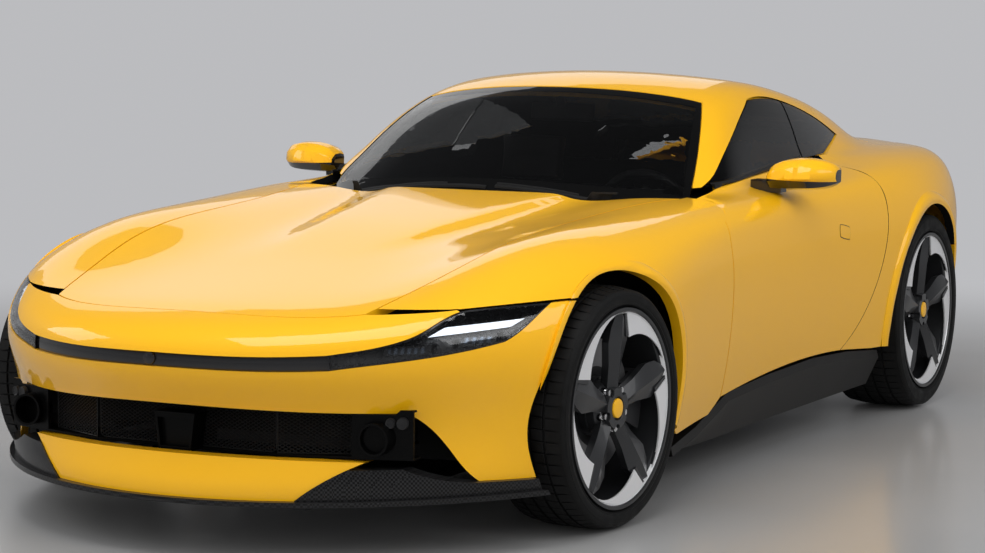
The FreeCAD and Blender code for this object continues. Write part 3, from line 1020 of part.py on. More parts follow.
seats = seat_side(-560, 190)
base = box(-520, -110, DRIVER_Y - 180, DRIVER_Y + 180, FLOOR + 20.3, 209.7)
keep("seat_bases", Part.makeCompound([base, mirrored(base)]))
keep("front_seats", Part.makeCompound(seats + [mirrored(piece) for piece in seats]))
rear_seat = side_cutter([[(-830, 455), (-730, 462), (-715, 400.3)], [(-715, 400.3), (-990, 400.3)], [(-990, 400.3), (-1000, 800)], [(-1000, 800), (-960, 810), (-900, 660), (-830, 455)]],
                        -440, 440)
keep("rear_seats", rear_seat)
cowl = side_cutter(closed([(700, 780.3), (436, 780.3), (436, 790), (700, 790)]), -620, 620)
hood_stay = side_cutter(closed([(388, 776), (470, 776), (470, 792), (412, 816), (388, 816)]), 604, 612)
hood_pin = across(*HOOD_HINGE, HINGE_PIN, 588, 606)
keep("cowl", cowl.fuse(pair(hood_stay.fuse(hood_pin))))

for node, shape in PARTS.items():
    print(node, len(shape.Solids), shape.isValid(), round(shape.Volume / 1e6, 2), [round(v) for v in (
        shape.BoundBox.XMin, shape.BoundBox.XMax, shape.BoundBox.YMin, shape.BoundBox.YMax, shape.BoundBox.ZMin, shape.BoundBox.ZMax)])
    shape.exportStep("parts/" + node + ".step")
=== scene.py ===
import json
import math

import bmesh
import bpy
from mathutils import Matrix, Vector
from mathutils.bvhtree import BVHTree


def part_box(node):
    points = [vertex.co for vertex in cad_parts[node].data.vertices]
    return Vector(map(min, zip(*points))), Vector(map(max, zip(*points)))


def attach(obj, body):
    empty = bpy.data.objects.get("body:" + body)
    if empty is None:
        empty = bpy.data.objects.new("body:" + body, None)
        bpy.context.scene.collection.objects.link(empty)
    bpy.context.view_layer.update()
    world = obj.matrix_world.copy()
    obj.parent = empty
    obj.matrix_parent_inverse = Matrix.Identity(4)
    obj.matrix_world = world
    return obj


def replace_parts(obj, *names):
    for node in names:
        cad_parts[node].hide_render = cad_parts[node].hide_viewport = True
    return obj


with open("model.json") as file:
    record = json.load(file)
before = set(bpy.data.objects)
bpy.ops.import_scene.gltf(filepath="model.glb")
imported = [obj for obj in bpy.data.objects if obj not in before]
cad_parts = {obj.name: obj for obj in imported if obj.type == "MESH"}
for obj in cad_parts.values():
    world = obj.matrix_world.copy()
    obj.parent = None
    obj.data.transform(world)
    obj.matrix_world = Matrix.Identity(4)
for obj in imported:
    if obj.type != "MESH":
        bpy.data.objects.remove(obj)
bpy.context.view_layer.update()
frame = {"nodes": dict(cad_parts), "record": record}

# The studio: a pale seamless sweep with a polished floor, and soft boxes overhead, at both sides
# and behind. The camera stands at the photograph's place, ahead and to the left of the car.
scene = bpy.context.scene
scene.view_settings.view_transform = "Standard"
CAMERA_PLACE = Vector((8.2445, 3.9984, 1.4592))
CAMERA_YAW = math.radians(-153.181)
CAMERA_PITCH = math.radians(-5.744)
CAMERA_ROLL = math.radians(0.366)
CAMERA_LENS = 99.86

ahead = Vector((math.cos(CAMERA_PITCH) * math.cos(CAMERA_YAW), math.cos(CAMERA_PITCH) * math.sin(CAMERA_YAW),
                math.sin(CAMERA_PITCH)))
level_right = ahead.cross(Vector((0, 0, 1))).normalized()
level_up = level_right.cross(ahead)
right = level_right * math.cos(CAMERA_ROLL) + level_up * math.sin(CAMERA_ROLL)
up = level_up * math.cos(CAMERA_ROLL) - level_right * math.sin(CAMERA_ROLL)
camera_data = bpy.data.cameras.new("camera")
camera_data.lens = CAMERA_LENS
camera_data.sensor_width = 36
camera = bpy.data.objects.new("camera", camera_data)
camera.matrix_world = Matrix((right, up, -ahead)).transposed().to_4x4()
camera.location = CAMERA_PLACE
scene.collection.objects.link(camera)
scene.camera = camera


def new_material(name, colour, roughness, metallic=0.0, coat=0.0):
    material = bpy.data.materials.new(name)
    material.use_nodes = True
    nodes = material.node_tree.nodes
    shader = nodes["Principled BSDF"]
    shader.inputs["Base Color"].default_value = (*colour, 1)
    shader.inputs["Roughness"].default_value = roughness
    shader.inputs["Metallic"].default_value = metallic
    shader.inputs["Coat Weight"].default_value = coat
    return material, nodes, material.node_tree.links, shader


def link_place(nodes, links, socket):
    """Feeds a socket with each point's place on its own piece."""
    coordinates = nodes.new("ShaderNodeTexCoord")
    links.new(coordinates.outputs["Object"], socket)


def add_noise(nodes, links, scale, detail=2.0):
    noise = nodes.new("ShaderNodeTexNoise")
    noise.inputs["Scale"].default_value = scale
    noise.inputs["Detail"].default_value = detail
    link_place(nodes, links, noise.inputs["Vector"])
    return noise.outputs["Fac"]


def add_range(nodes, links, source, low, high, socket):
    """Spreads a noise's middle values from low to high."""
    spread = nodes.new("ShaderNodeMapRange")
    spread.inputs["From Min"].default_value = 0.3
    spread.inputs["From Max"].default_value = 0.7
    spread.inputs["To Min"].default_value = low
    spread.inputs["To Max"].default_value = high
    links.new(source, spread.inputs["Value"])
    links.new(spread.outputs["Result"], socket)


def add_tint(nodes, links, source, dark, light, socket, start=0.3, end=0.7):
    """Colours a socket from dark to light as the source rises from start to end."""
    ramp = nodes.new("ShaderNodeValToRGB")
    ramp.color_ramp.elements[0].position = start
    ramp.color_ramp.elements[0].color = (*dark, 1)
    ramp.color_ramp.elements[1].position = end
    ramp.color_ramp.elements[1].color = (*light, 1)
    links.new(source, ramp.inputs["Fac"])
    links.new(ramp.outputs["Color"], socket)


def add_math(nodes, links, operation, first, second):
    step = nodes.new("ShaderNodeMath")
    step.operation = operation
    for socket, value in zip(step.inputs, (first, second)):
        if isinstance(value, float):
            socket.default_value = value
        else:
            links.new(value, socket)
    return step.outputs["Value"]


def add_mix(nodes, links, share, first, second):
    mix = nodes.new("ShaderNodeMixShader")
    links.new(share, mix.inputs["Fac"])
    links.new(first, mix.inputs[1])
    links.new(second, mix.inputs[2])
    return mix.outputs["Shader"]


def add_object(name, mesh_maker, material, smooth_angle=None):
    """One mesh object at the origin, made by filling a bmesh."""
    form = bmesh.new()
    mesh_maker(form)
    mesh = bpy.data.meshes.new(name)
    form.to_mesh(mesh)
    form.free()
    piece = bpy.data.objects.new(name, mesh)
    scene.collection.objects.link(piece)
    mesh.materials.append(material)
    if smooth_angle is not None:
        mesh.shade_smooth()
        mesh.set_sharp_from_angle(angle=math.radians(smooth_angle))
    return piece


FLOOR_GREY = (0.36, 0.358, 0.356)
BACK_GREY = (0.500, 0.503, 0.520, 1)
LIT_RADIUS = 2.7
FAR_RADIUS = 5.8
FLOOR_REACH = 60


def sweep(form):
    bmesh.ops.create_grid(form, x_segments=1, y_segments=1, size=FLOOR_REACH)


studio_floor, nodes, links, shader = new_material("studio_floor", FLOOR_GREY, 0.2)
cloud = add_noise(nodes, links, 0.7)
add_range(nodes, links, cloud, 0.16, 0.26, shader.inputs["Roughness"])
add_tint(nodes, links, cloud, (0.345, 0.343, 0.341), (0.375, 0.373, 0.371), shader.inputs["Base Color"])
distance = nodes.new("ShaderNodeVectorMath")
distance.operation = "LENGTH"
link_place(nodes, links, distance.inputs[0])
far_share = nodes.new("ShaderNodeMapRange")
far_share.interpolation_type = "SMOOTHSTEP"
far_share.inputs["From Min"].default_value = LIT_RADIUS
far_share.inputs["From Max"].default_value = FAR_RADIUS
links.new(distance.outputs["Value"], far_share.inputs["Value"])
glow = nodes.new("ShaderNodeEmission")
glow.inputs["Color"].default_value = BACK_GREY
path = nodes.new("ShaderNodeLightPath")
seen_share = add_math(nodes, links, "MULTIPLY", far_share.outputs["Result"], path.outputs["Is Camera Ray"])
mixed = add_mix(nodes, links, seen_share, shader.outputs["BSDF"], glow.outputs["Emission"])
links.new(mixed, nodes["Material Output"].inputs["Surface"])
floor = add_object("studio_floor", sweep, studio_floor)

world = bpy.data.worlds.new("studio")
scene.world = world
world.use_nodes = True
nodes, links = world.node_tree.nodes, world.node_tree.links
lit = nodes["Background"]
lit.inputs["Strength"].default_value = 1.0
mirrored = nodes.new("ShaderNodeBackground")
backdrop = nodes.new("ShaderNodeBackground")
backdrop.inputs["Color"].default_value = BACK_GREY
coordinates = nodes.new("ShaderNodeTexCoord")
parts = nodes.new("ShaderNodeSeparateXYZ")
links.new(coordinates.outputs["Generated"], parts.inputs["Vector"])
add_tint(nodes, links, parts.outputs["X"], (0.60, 0.605, 0.62), (1.45, 1.45, 1.45), lit.inputs["Color"], 0.0, 1.0)
add_tint(nodes, links, parts.outputs["Z"], (0.30, 0.302, 0.31), (0.05, 0.051, 0.054), mirrored.inputs["Color"],
         0.05, 0.6)
path = nodes.new("ShaderNodeLightPath")
unseen = add_mix(nodes, links, path.outputs["Is Glossy Ray"], lit.outputs["Background"],
                 mirrored.outputs["Background"])
mixed = add_mix(nodes, links, path.outputs["Is Camera Ray"], unseen, backdrop.outputs["Background"])
links.new(mixed, nodes["World Output"].inputs["Surface"])

for name, place, aim, width, height, power in (
        ("overhead", (2.6, 0.7, 4.6), (1.9, 0.3, 0.5), 3.2, 2.4, 80),
        ("back_right", (-6.0, -4.6, 3.9), (0, 0, 0.8), 6.4, 2.8, 40),
        ("side_left", (0.4, 6.4, 4.2), (0.1, 0, 0.6), 7.0, 2.6, 110),
        ("side_right", (2.5, -6.4, 4.2), (0.5, 0, 0.7), 3.0, 2.6, 60)):
    lamp_data = bpy.data.lights.new(name, "AREA")
    lamp_data.shape = "RECTANGLE"
    lamp_data.size = width
    lamp_data.size_y = height
    lamp_data.energy = power
    lamp = bpy.data.objects.new(name, lamp_data)
    lamp.location = place
    lamp.rotation_euler = (Vector(aim) - Vector(place)).to_track_quat("-Z", "Y").to_euler()
    scene.collection.objects.link(lamp)

# The body panels: pressed aluminium in a solid yellow under clear lacquer, with the faint ripple
# that sprayed lacquer has. A packed panel's triangles are joined for shading only.
WELD = 0.00002
CREASE = math.radians(24)
smoothing = bpy.data.node_groups.new("panel_smoothing", "GeometryNodeTree")
smoothing.interface.new_socket("Geometry", in_out="INPUT", socket_type="NodeSocketGeometry")
smoothing.interface.new_socket("Geometry", in_out="OUTPUT", socket_type="NodeSocketGeometry")
nodes, links = smoothing.nodes, smoothing.links
group_in = nodes.new("NodeGroupInput")
group_out = nodes.new("NodeGroupOutput")
joined = nodes.new("GeometryNodeMergeByDistance")
joined.inputs["Distance"].default_value = WELD
edge_angle = nodes.new("GeometryNodeInputMeshEdgeAngle")
flat_enough = nodes.new("FunctionNodeCompare")
flat_enough.data_type = "FLOAT"
flat_enough.operation = "LESS_THAN"
flat_enough.inputs[1].default_value = CREASE
smooth_faces = nodes.new("GeometryNodeSetShadeSmooth")
smooth_faces.domain = "FACE"
smooth_edges = nodes.new("GeometryNodeSetShadeSmooth")
smooth_edges.domain = "EDGE"
links.new(group_in.outputs[0], joined.inputs["Geometry"])
links.new(joined.outputs["Geometry"], smooth_faces.inputs["Geometry"])
links.new(smooth_faces.outputs["Geometry"], smooth_edges.inputs["Geometry"])
links.new(edge_angle.outputs["Unsigned Angle"], flat_enough.inputs[0])
links.new(flat_enough.outputs["Result"], smooth_edges.inputs["Shade Smooth"])
links.new(smooth_edges.outputs["Geometry"], group_out.inputs[0])


def finish_nodes(material, *names):
    """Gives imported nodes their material, and smooth shading across their small facets."""
    for name in names:
        piece = frame["nodes"][name]
        piece.data.materials.clear()
        piece.data.materials.append(material)
        piece.modifiers.new("smoothing", "NODES").node_group = smoothing


def add_bump(nodes, links, height, socket, strength, distance):
    bump = nodes.new("ShaderNodeBump")
    bump.inputs["Strength"].default_value = strength
    bump.inputs["Distance"].default_value = distance
    links.new(height, bump.inputs["Height"])
    links.new(bump.outputs["Normal"], socket)


paint, nodes, links, shader = new_material("yellow_lacquer", (0.93, 0.475, 0.002), 0.5, 0.0, 0.9)
shader.inputs["Specular IOR Level"].default_value = 0.2
shader.inputs["Coat Roughness"].default_value = 0.03
speckle = add_noise(nodes, links, 1400, 1)
add_tint(nodes, links, speckle, (0.91, 0.460, 0.0015), (0.95, 0.490, 0.0025), shader.inputs["Base Color"])
ripple = add_noise(nodes, links, 210, 1)
add_bump(nodes, links, ripple, shader.inputs["Coat Normal"], 0.02, 0.0004)
finish_nodes(paint, "hood", "nose_panel", "front_bumper", "fender_left", "fender_right", "rear_bumper", "front_lip")

# The panels round the cabin: the same pressings, lined inside with black cloth on formed board.
# The cloth shows on the faces that look in at the cabin's middle.
CABIN_MIDDLE = (-0.55, 0.0, 0.66)
lined_paint = paint.copy()
lined_paint.name = "yellow_lacquer_lined"
nodes, links = lined_paint.node_tree.nodes, lined_paint.node_tree.links
lining = nodes.new("ShaderNodeBsdfDiffuse")
lining.inputs["Color"].default_value = (0.010, 0.010, 0.010, 1)
coordinates = nodes.new("ShaderNodeTexCoord")
from_middle = nodes.new("ShaderNodeVectorMath")
from_middle.operation = "SUBTRACT"
from_middle.inputs[1].default_value = CABIN_MIDDLE
links.new(coordinates.outputs["Object"], from_middle.inputs[0])
facing = nodes.new("ShaderNodeVectorMath")
facing.operation = "DOT_PRODUCT"
links.new(from_middle.outputs["Vector"], facing.inputs[0])
links.new(coordinates.outputs["Normal"], facing.inputs[1])
inward = add_math(nodes, links, "LESS_THAN", facing.outputs["Value"], 0.0)
mixed = add_mix(nodes, links, inward, nodes["Principled BSDF"].outputs["BSDF"], lining.outputs["BSDF"])
links.new(mixed, nodes["Material Output"].inputs["Surface"])
finish_nodes(lined_paint, "roof", "door_left", "door_right", "quarter_left", "quarter_right", "boot_lid")


# The glazing: tinted glass, curved with the body. The quarter panes and the rear window, which
# is the darkest, are bonded in their openings, and the door panes slide down into the doors.
def new_glass(name, colour, dark, light, haze_scale=2.5, bend=1.5):
    glass, nodes, links, shader = new_material(name, colour, 0.0)
    shader.inputs["IOR"].default_value = bend
    shader.inputs["Transmission Weight"].default_value = 1.0
    haze = add_noise(nodes, links, haze_scale)
    add_tint(nodes, links, haze, dark, light, shader.inputs["Base Color"])
    return glass


tinted_glass = new_glass("tinted_glass", (0.24, 0.243, 0.243), (0.23, 0.233, 0.233), (0.25, 0.253, 0.253))
finish_nodes(tinted_glass, "door_glass_left", "door_glass_right", "quarter_glass")
rear_glass = new_glass("rear_glass", (0.03, 0.031, 0.031), (0.028, 0.029, 0.029), (0.034, 0.035, 0.035))
finish_nodes(rear_glass, "rear_window")

# The windscreen: laminated glass, more lightly tinted, with a black edge printed inside it where
# it is bonded to the pillars, the roof and the cowl. Each print line follows the pane's edge.
PILLAR_SLOPE = 0.3165
PILLAR_REACH = 0.5825
PILLAR_PRINT = 0.030
HEADER_BOW = -0.284
HEADER_X = -0.122
HEADER_PRINT = 0.045
FOOT_BOW = -0.40
FOOT_X = 0.478
FOOT_PRINT = 0.075
SCREEN_TINT = (0.5, 0.505, 0.505)
PRINT_BLACK = (0.003, 0.003, 0.003)
screen_glass, nodes, links, shader = new_material("screen_glass", SCREEN_TINT, 0.0)
shader.inputs["IOR"].default_value = 1.5
parts = nodes.new("ShaderNodeSeparateXYZ")
link_place(nodes, links, parts.inputs["Vector"])


def add_line(factor, source, offset):
    return add_math(nodes, links, "ADD", add_math(nodes, links, "MULTIPLY", source, factor), offset)


station = parts.outputs["X"]
off_centre = add_math(nodes, links, "ABSOLUTE", parts.outputs["Y"], 0.0)
squared = add_math(nodes, links, "MULTIPLY", off_centre, off_centre)
pillar_line = add_line(PILLAR_SLOPE, station, PILLAR_REACH - PILLAR_PRINT)
header_line = add_line(HEADER_BOW, squared, HEADER_X + HEADER_PRINT)
foot_line = add_line(FOOT_BOW, squared, FOOT_X - FOOT_PRINT)
beside = add_math(nodes, links, "SUBTRACT", off_centre, pillar_line)
above = add_math(nodes, links, "SUBTRACT", header_line, station)
below = add_math(nodes, links, "SUBTRACT", station, foot_line)
edge = add_math(nodes, links, "MAXIMUM", add_math(nodes, links, "MAXIMUM", beside, above), below)
printed = add_math(nodes, links, "GREATER_THAN", edge, 0.0)
links.new(add_math(nodes, links, "SUBTRACT", 1.0, printed), shader.inputs["Transmission Weight"])
tone = nodes.new("ShaderNodeMix")
tone.data_type = "RGBA"
tone.inputs["A"].default_value = (*SCREEN_TINT, 1)
tone.inputs["B"].default_value = (*PRINT_BLACK, 1)
links.new(printed, tone.inputs["Factor"])
links.new(tone.outputs["Result"], shader.inputs["Base Color"])
finish_nodes(screen_glass, "windscreen")

# Gloss black mouldings: the band across the nose, and the mirrors' lower halves and feet. They
# are injection moulded, polished and clipped in place.
gloss_black, nodes, links, shader = new_material("gloss_black", (0.006, 0.006, 0.007), 0.10, 0.0, 0.7)
shader.inputs["Coat Roughness"].default_value = 0.02
add_range(nodes, links, add_noise(nodes, links, 6), 0.08, 0.16, shader.inputs["Roughness"])
finish_nodes(gloss_black, "light_band", "mirror_left", "mirror_right")

# The belt strips: extruded black rubber along the foot of each door's glass, pressed on the
# door's edge so that it wipes the sliding pane.
SIDES = (("left", 1), ("right", -1))
CASTING_START = 0.4
CASTING_REACH = 0.9


def add_piece(name, mesh_maker, material, smooth_angle, body):
    """A new piece that moves with a body and takes the material it is given."""
    piece = add_object(name, mesh_maker, material, smooth_angle)
    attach(piece, body)
    return piece


def surface_of(*names):
    """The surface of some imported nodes, for laying trim on."""
    corners, sides = [], []
    for name in names:
        mesh = frame["nodes"][name].data
        first = len(corners)
        corners += [vert.co.copy() for vert in mesh.vertices]
        sides += [[first + index for index in side.vertices] for side in mesh.polygons]
    return BVHTree.FromPolygons(corners, sides)


def lay(form, surface, spot_of, way, lift, thickness, along=8, across=8):
    """A skin laid on a surface: spot_of gives each point of a square a spot outside the surface,
    and way leads from there to it. Where the way meets nothing, the middle reach is taken."""
    way = Vector(way).normalized()
    skin = bmesh.ops.create_grid(form, x_segments=along, y_segments=across, size=1)["verts"]
    spots = [Vector(spot_of(vert.co.x, vert.co.y)) for vert in skin]
    reach = []
    for spot in spots:
        hit = surface.ray_cast(spot - way * CASTING_START, way, CASTING_REACH)[0]
        reach.append(None if hit is None else (hit - spot).dot(way))
    known = sorted(value for value in reach if value is not None)
    middle = known[len(known) // 2]
    for vert, spot, value in zip(skin, spots, reach):
        vert.co = spot + way * ((middle if value is None else value) - lift)
    faces = list({face for vert in skin for face in vert.link_faces})
    bmesh.ops.recalc_face_normals(form, faces=faces)
    if sum(face.normal.dot(way) for face in faces) > 0:
        bmesh.ops.reverse_faces(form, faces=faces)
    inner = bmesh.ops.extrude_face_region(form, geom=faces)["geom"]
    moved = [item for item in inner if isinstance(item, bmesh.types.BMVert)]
    bmesh.ops.translate(form, verts=moved, vec=way * thickness)
    bmesh.ops.recalc_face_normals(form, faces=form.faces[:])


def add_patch(name, surface, spot_of, way, lift, thickness, cuts, material, body):
    """One laid skin as a piece of its own."""
    add_piece(name, lambda form: lay(form, surface, spot_of, way, lift, thickness, *cuts), material, 30, body)


def rounded(centre, across, upward, half_across, half_up, rounding):
    """Spots of a rectangle with rounded corners; rounding 1 gives an oval."""
    def spot_of(u, v):
        along = u * math.sqrt(1 - rounding * v * v / 2) * half_across
        rise = v * math.sqrt(1 - rounding * u * u / 2) * half_up
        return Vector(centre) + Vector(across) * along + Vector(upward) * rise
    return spot_of


def ribbon(marks, upward, half_width):
    """Spots of a strip that follows a line of marks."""
    marks = [Vector(mark) for mark in marks]

    def spot_of(u, v):
        step = (u + 1) / 2 * (len(marks) - 1)
        index = min(int(step), len(marks) - 2)
        return marks[index].lerp(marks[index + 1], step - index) + Vector(upward) * half_width * v
    return spot_of


rubber_trim, nodes, links, shader = new_material("rubber_trim", (0.008, 0.008, 0.008), 0.45)
add_bump(nodes, links, add_noise(nodes, links, 700), shader.inputs["Normal"], 0.1, 0.0002)
for side, turn in SIDES:
    belt = [(0.160, turn, 0.8770), (-0.10, turn, 0.8960), (-0.34, turn, 0.9110), (-0.66, turn, 0.9290)]
    add_patch("belt_strip_" + side, surface_of("door_glass_" + side, "quarter_glass"), ribbon(belt, (0, 0, 1), 0.0075),
              (0, -turn, 0), 0.0024, 0.002, (40, 2), rubber_trim, "door_" + side)


# The mirrors: a painted shell clips over the upper part of each black body, and a silvered glass
# is carried in the recess at its back.
TOUCHING = 0.00001


def clip(form, cuts):
    """Cuts the form at planes, each a spot and the way that is cleared."""
    for spot, cleared in cuts:
        bmesh.ops.bisect_plane(form, geom=form.verts[:] + form.edges[:] + form.faces[:], dist=TOUCHING,
                               plane_co=spot, plane_no=cleared, clear_outer=True)


silvered, nodes, links, shader = new_material("silvered_glass", (0.75, 0.77, 0.78), 0.02, 1.0)
add_range(nodes, links, add_noise(nodes, links, 9), 0.01, 0.04, shader.inputs["Roughness"])
CAP_PROUD = 0.0008
CAP_FOOT = 0.893
MIRROR_REACH = 1.02598
for side, turn in SIDES:
    def cap(form):
        form.from_mesh(frame["nodes"]["mirror_" + side].data)
        bmesh.ops.remove_doubles(form, verts=form.verts[:], dist=WELD)
        clip(form, (((0, turn * 0.93, CAP_FOOT), (0, -turn * 0.03, -1)), ((0, turn * 0.812, 0), (0, -turn, 0)),
                    ((-0.118, 0, 0), (-1, 0, 0))))
        form.normal_update()
        bmesh.ops.recalc_face_normals(form, faces=form.faces[:])
        for vert in form.verts:
            vert.co += vert.normal * CAP_PROUD
            vert.co.y = turn * min(turn * vert.co.y, MIRROR_REACH)

    add_piece("mirror_cap_" + side, cap, paint, 28, "door_" + side)
    add_patch("mirror_glass_" + side, surface_of("mirror_" + side),
              rounded((-0.13, turn * 0.924, 0.910), (0, 1, 0), (0, 0, 1), 0.088, 0.029, 0.35), (1, 0, 0), 0.002, 0.0015,
              (8, 8), silvered, "door_" + side)

# The door handles: a small flap moulded in body colour lies flush in the flank below the belt,
# and rises a little toward the tail. A black ring round it is painted shade, for the gap round the flap.
HANDLE_ALONG = (0.98, 0, 0.17)
HANDLE_UP = (-0.17, 0, 0.98)
for side, turn in SIDES:
    flank = surface_of("door_" + side)
    for name, half_length, half_height, lift, material, slot in (
            # The first flap is a black ring of painted shade: it stands for the shade in the gap round the handle.
            ("handle_shade_ring_", 0.046, 0.024, 0.0006, rubber_trim, "gloss_black"),
            ("door_handle_", 0.0435, 0.0215, 0.0014, paint, "body_paint")):
        flap = rounded((-0.452, turn * 1.1, 0.697), HANDLE_ALONG, HANDLE_UP, half_length, half_height, 0.4)
        add_patch(name + side, flank, flap, (0, -turn, 0), lift, 0.002, (12, 10), material, "door_" + side)


# The carbon parts: twill cloth laid up under clear resin. The splitter shows its weave; the sills
# and the diffuser are duller, with a fine dark weave.
def add_weave(nodes, links, shader, turns, scale, dark, light):
    """A weave of small squares, turned about the three axes."""
    turned_cloth = nodes.new("ShaderNodeMapping")
    turned_cloth.inputs["Rotation"].default_value = [math.radians(turn) for turn in turns]
    turned_cloth.inputs["Scale"].default_value = (scale, scale, scale)
    link_place(nodes, links, turned_cloth.inputs["Vector"])
    checker = nodes.new("ShaderNodeTexChecker")
    checker.inputs["Scale"].default_value = 1.0
    checker.inputs["Color1"].default_value = (*dark, 1)
    checker.inputs["Color2"].default_value = (*light, 1)
    links.new(turned_cloth.outputs["Vector"], checker.inputs["Vector"])
    links.new(checker.outputs["Color"], shader.inputs["Base Color"])
    return checker.outputs["Fac"]


carbon, nodes, links, shader = new_material("carbon_weave", (0.01, 0.01, 0.01), 0.4, 0.0, 0.35)
shader.inputs["Coat Roughness"].default_value = 0.05
shader.inputs["Specular IOR Level"].default_value = 0.15
weave = add_weave(nodes, links, shader, (0, 0, 45), 170, (0.0015, 0.0015, 0.0015), (0.020, 0.020, 0.021))
add_bump(nodes, links, weave, shader.inputs["Normal"], 0.2, 0.0003)
finish_nodes(carbon, "splitter")
sill_black, nodes, links, shader = new_material("sill_black", (0.005, 0.005, 0.005), 0.45)
shader.inputs["Specular IOR Level"].default_value = 0.3
add_weave(nodes, links, shader, (45, 45, 0), 200, (0.0035, 0.0033, 0.003), (0.0075, 0.0065, 0.0055))
finish_nodes(sill_black, "sills", "diffuser")

# Black moulded plastic with a fine grain: the cowl, the tray below and, blacker, the intake's
# frame. The arch liners and the shell are faced with felt that deadens stones and noise.
black_plastic, nodes, links, shader = new_material("moulded_black", (0.010, 0.010, 0.011), 0.5)
grain = add_noise(nodes, links, 900)
add_bump(nodes, links, grain, shader.inputs["Normal"], 0.15, 0.0003)
add_range(nodes, links, grain, 0.42, 0.6, shader.inputs["Roughness"])
finish_nodes(black_plastic, "undertray", "cowl")
intake_black, nodes, links, shader = new_material("intake_black", (0.0015, 0.0015, 0.0015), 0.4)
shader.inputs["Specular IOR Level"].default_value = 0.12
grain = add_noise(nodes, links, 800)
add_bump(nodes, links, grain, shader.inputs["Normal"], 0.08, 0.0002)
add_range(nodes, links, grain, 0.24, 0.38, shader.inputs["Roughness"])
finish_nodes(intake_black, "intake_frame")
felt, nodes, links, shader = new_material("liner_felt", (0.006, 0.006, 0.006), 0.95)
add_bump(nodes, links, add_noise(nodes, links, 1500, 4), shader.inputs["Normal"], 0.5, 0.0008)
finish_nodes(felt, "wheel_liners", "body_shell")

# The intake's mesh: fine wide diamonds of black moulded plastic, one sheet ahead and one turned
# back at each side, held by their rims in the intake's frame.
STRAND = 0.0026
MESH_CELLS = 44
MESH_HALF = 0.26
DIAMOND_SQUASH = 0.58
SHEET_TURN = 24
STAND_UP = Matrix(((0, 0, 1, 0), (1, 0, 0, 0), (0, 1, 0, 0), (0, 0, 0, 1)))


def mesh_sheet(form, half_length, half_height):
    bmesh.ops.create_grid(form, x_segments=MESH_CELLS, y_segments=MESH_CELLS, size=MESH_HALF)
    bmesh.ops.rotate(form, verts=form.verts[:], cent=(0, 0, 0), matrix=Matrix.Rotation(math.radians(45), 3, "Z"))
    bmesh.ops.scale(form, verts=form.verts[:], vec=(1, DIAMOND_SQUASH, 1))
    clip(form, (((half_length, 0, 0), (1, 0, 0)), ((-half_length, 0, 0), (-1, 0, 0)),
                ((0, half_height, 0), (0, 1, 0)), ((0, -half_height, 0), (0, -1, 0))))
    bmesh.ops.wireframe(form, faces=form.faces[:], thickness=STRAND, offset=0, use_replace=True, use_boundary=True,
                        use_even_offset=True)
    bmesh.ops.transform(form, verts=form.verts[:], matrix=STAND_UP)


def intake_mesh(form):
    mesh_low, mesh_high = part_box("grille")
    middle = (mesh_low[2] + mesh_high[2]) / 2
    half_height = (mesh_high[2] - mesh_low[2]) / 2 - 0.001
    for half_length, turn, place in ((0.279, 0, (2.144, 0, middle)), (0.104, SHEET_TURN, (2.1075, 0.3825, middle)),
                                     (0.104, -SHEET_TURN, (2.1075, -0.3825, middle))):
        sheet = bmesh.new()
        mesh_sheet(sheet, half_length, half_height)
        bmesh.ops.transform(sheet, verts=sheet.verts[:],
                            matrix=Matrix.Translation(place) @ Matrix.Rotation(math.radians(turn), 4, "Z"))
        keeper = bpy.data.meshes.new("sheet")
        sheet.to_mesh(keeper)
        sheet.free()
        form.from_mesh(keeper)
        bpy.data.meshes.remove(keeper)


mesh_black, nodes, links, shader = new_material("mesh_black", (0.014, 0.014, 0.014), 0.3)
add_range(nodes, links, add_noise(nodes, links, 500), 0.24, 0.4, shader.inputs["Roughness"])
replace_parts(add_piece("intake_mesh", intake_mesh, mesh_black, None, "body"), "grille")

# The distance sensors and the camera: moulded black housings. A pair of round sensors stands on a
# block in each upper corner of the intake, and the camera's pod sits in the middle of the band.
FACE_AHEAD = Matrix(((0, 0, 1, 0), (0, 1, 0, 0), (-1, 0, 0, 0), (0, 0, 0, 1)))
CORNER_TURN = 18.5


def add_cone(form, segments, foot, top, depth):
    return bmesh.ops.create_cone(form, cap_ends=True, segments=segments, radius1=foot, radius2=top,
                                 depth=depth)["verts"]


def bevel_edges(form, edges, offset, segments):
    return bmesh.ops.bevel(form, geom=edges, offset=offset, offset_type="OFFSET", segments=segments, profile=0.5,
                           affect="EDGES", material=-1)


for side, turn in SIDES:
    def sensors(form):
        for offset, radius in ((-0.019, 0.015), (0.013, 0.0175)):
            ring = add_cone(form, 28, radius, radius * 0.86, 0.016)
            caps = [face for face in form.faces if abs(face.normal.z - 1) < 0.01 and face.verts[0] in ring]
            bmesh.ops.inset_individual(form, faces=caps, thickness=radius * 0.28, depth=-0.0025)
            bmesh.ops.translate(form, verts=[vert for vert in form.verts if not vert.tag], vec=(0, offset, 0))
            for vert in form.verts:
                vert.tag = True
        base = bmesh.ops.create_cube(form, size=1)["verts"]
        bmesh.ops.scale(form, verts=base, vec=(0.040, 0.076, 0.014))
        bmesh.ops.translate(form, verts=base, vec=(0, -0.003, -0.012))
        bevel_edges(form, [item for item in form.edges if item.verts[0] in base], 0.005, 2)
        corner_turn = Matrix.Rotation(turn * math.radians(CORNER_TURN), 4, "Z")
        bmesh.ops.transform(form, verts=form.verts[:],
                            matrix=Matrix.Translation((2.068, turn * 0.602, 0.364)) @ corner_turn @ FACE_AHEAD)

    add_piece("distance_sensor_" + side, sensors, black_plastic, 30, "body")


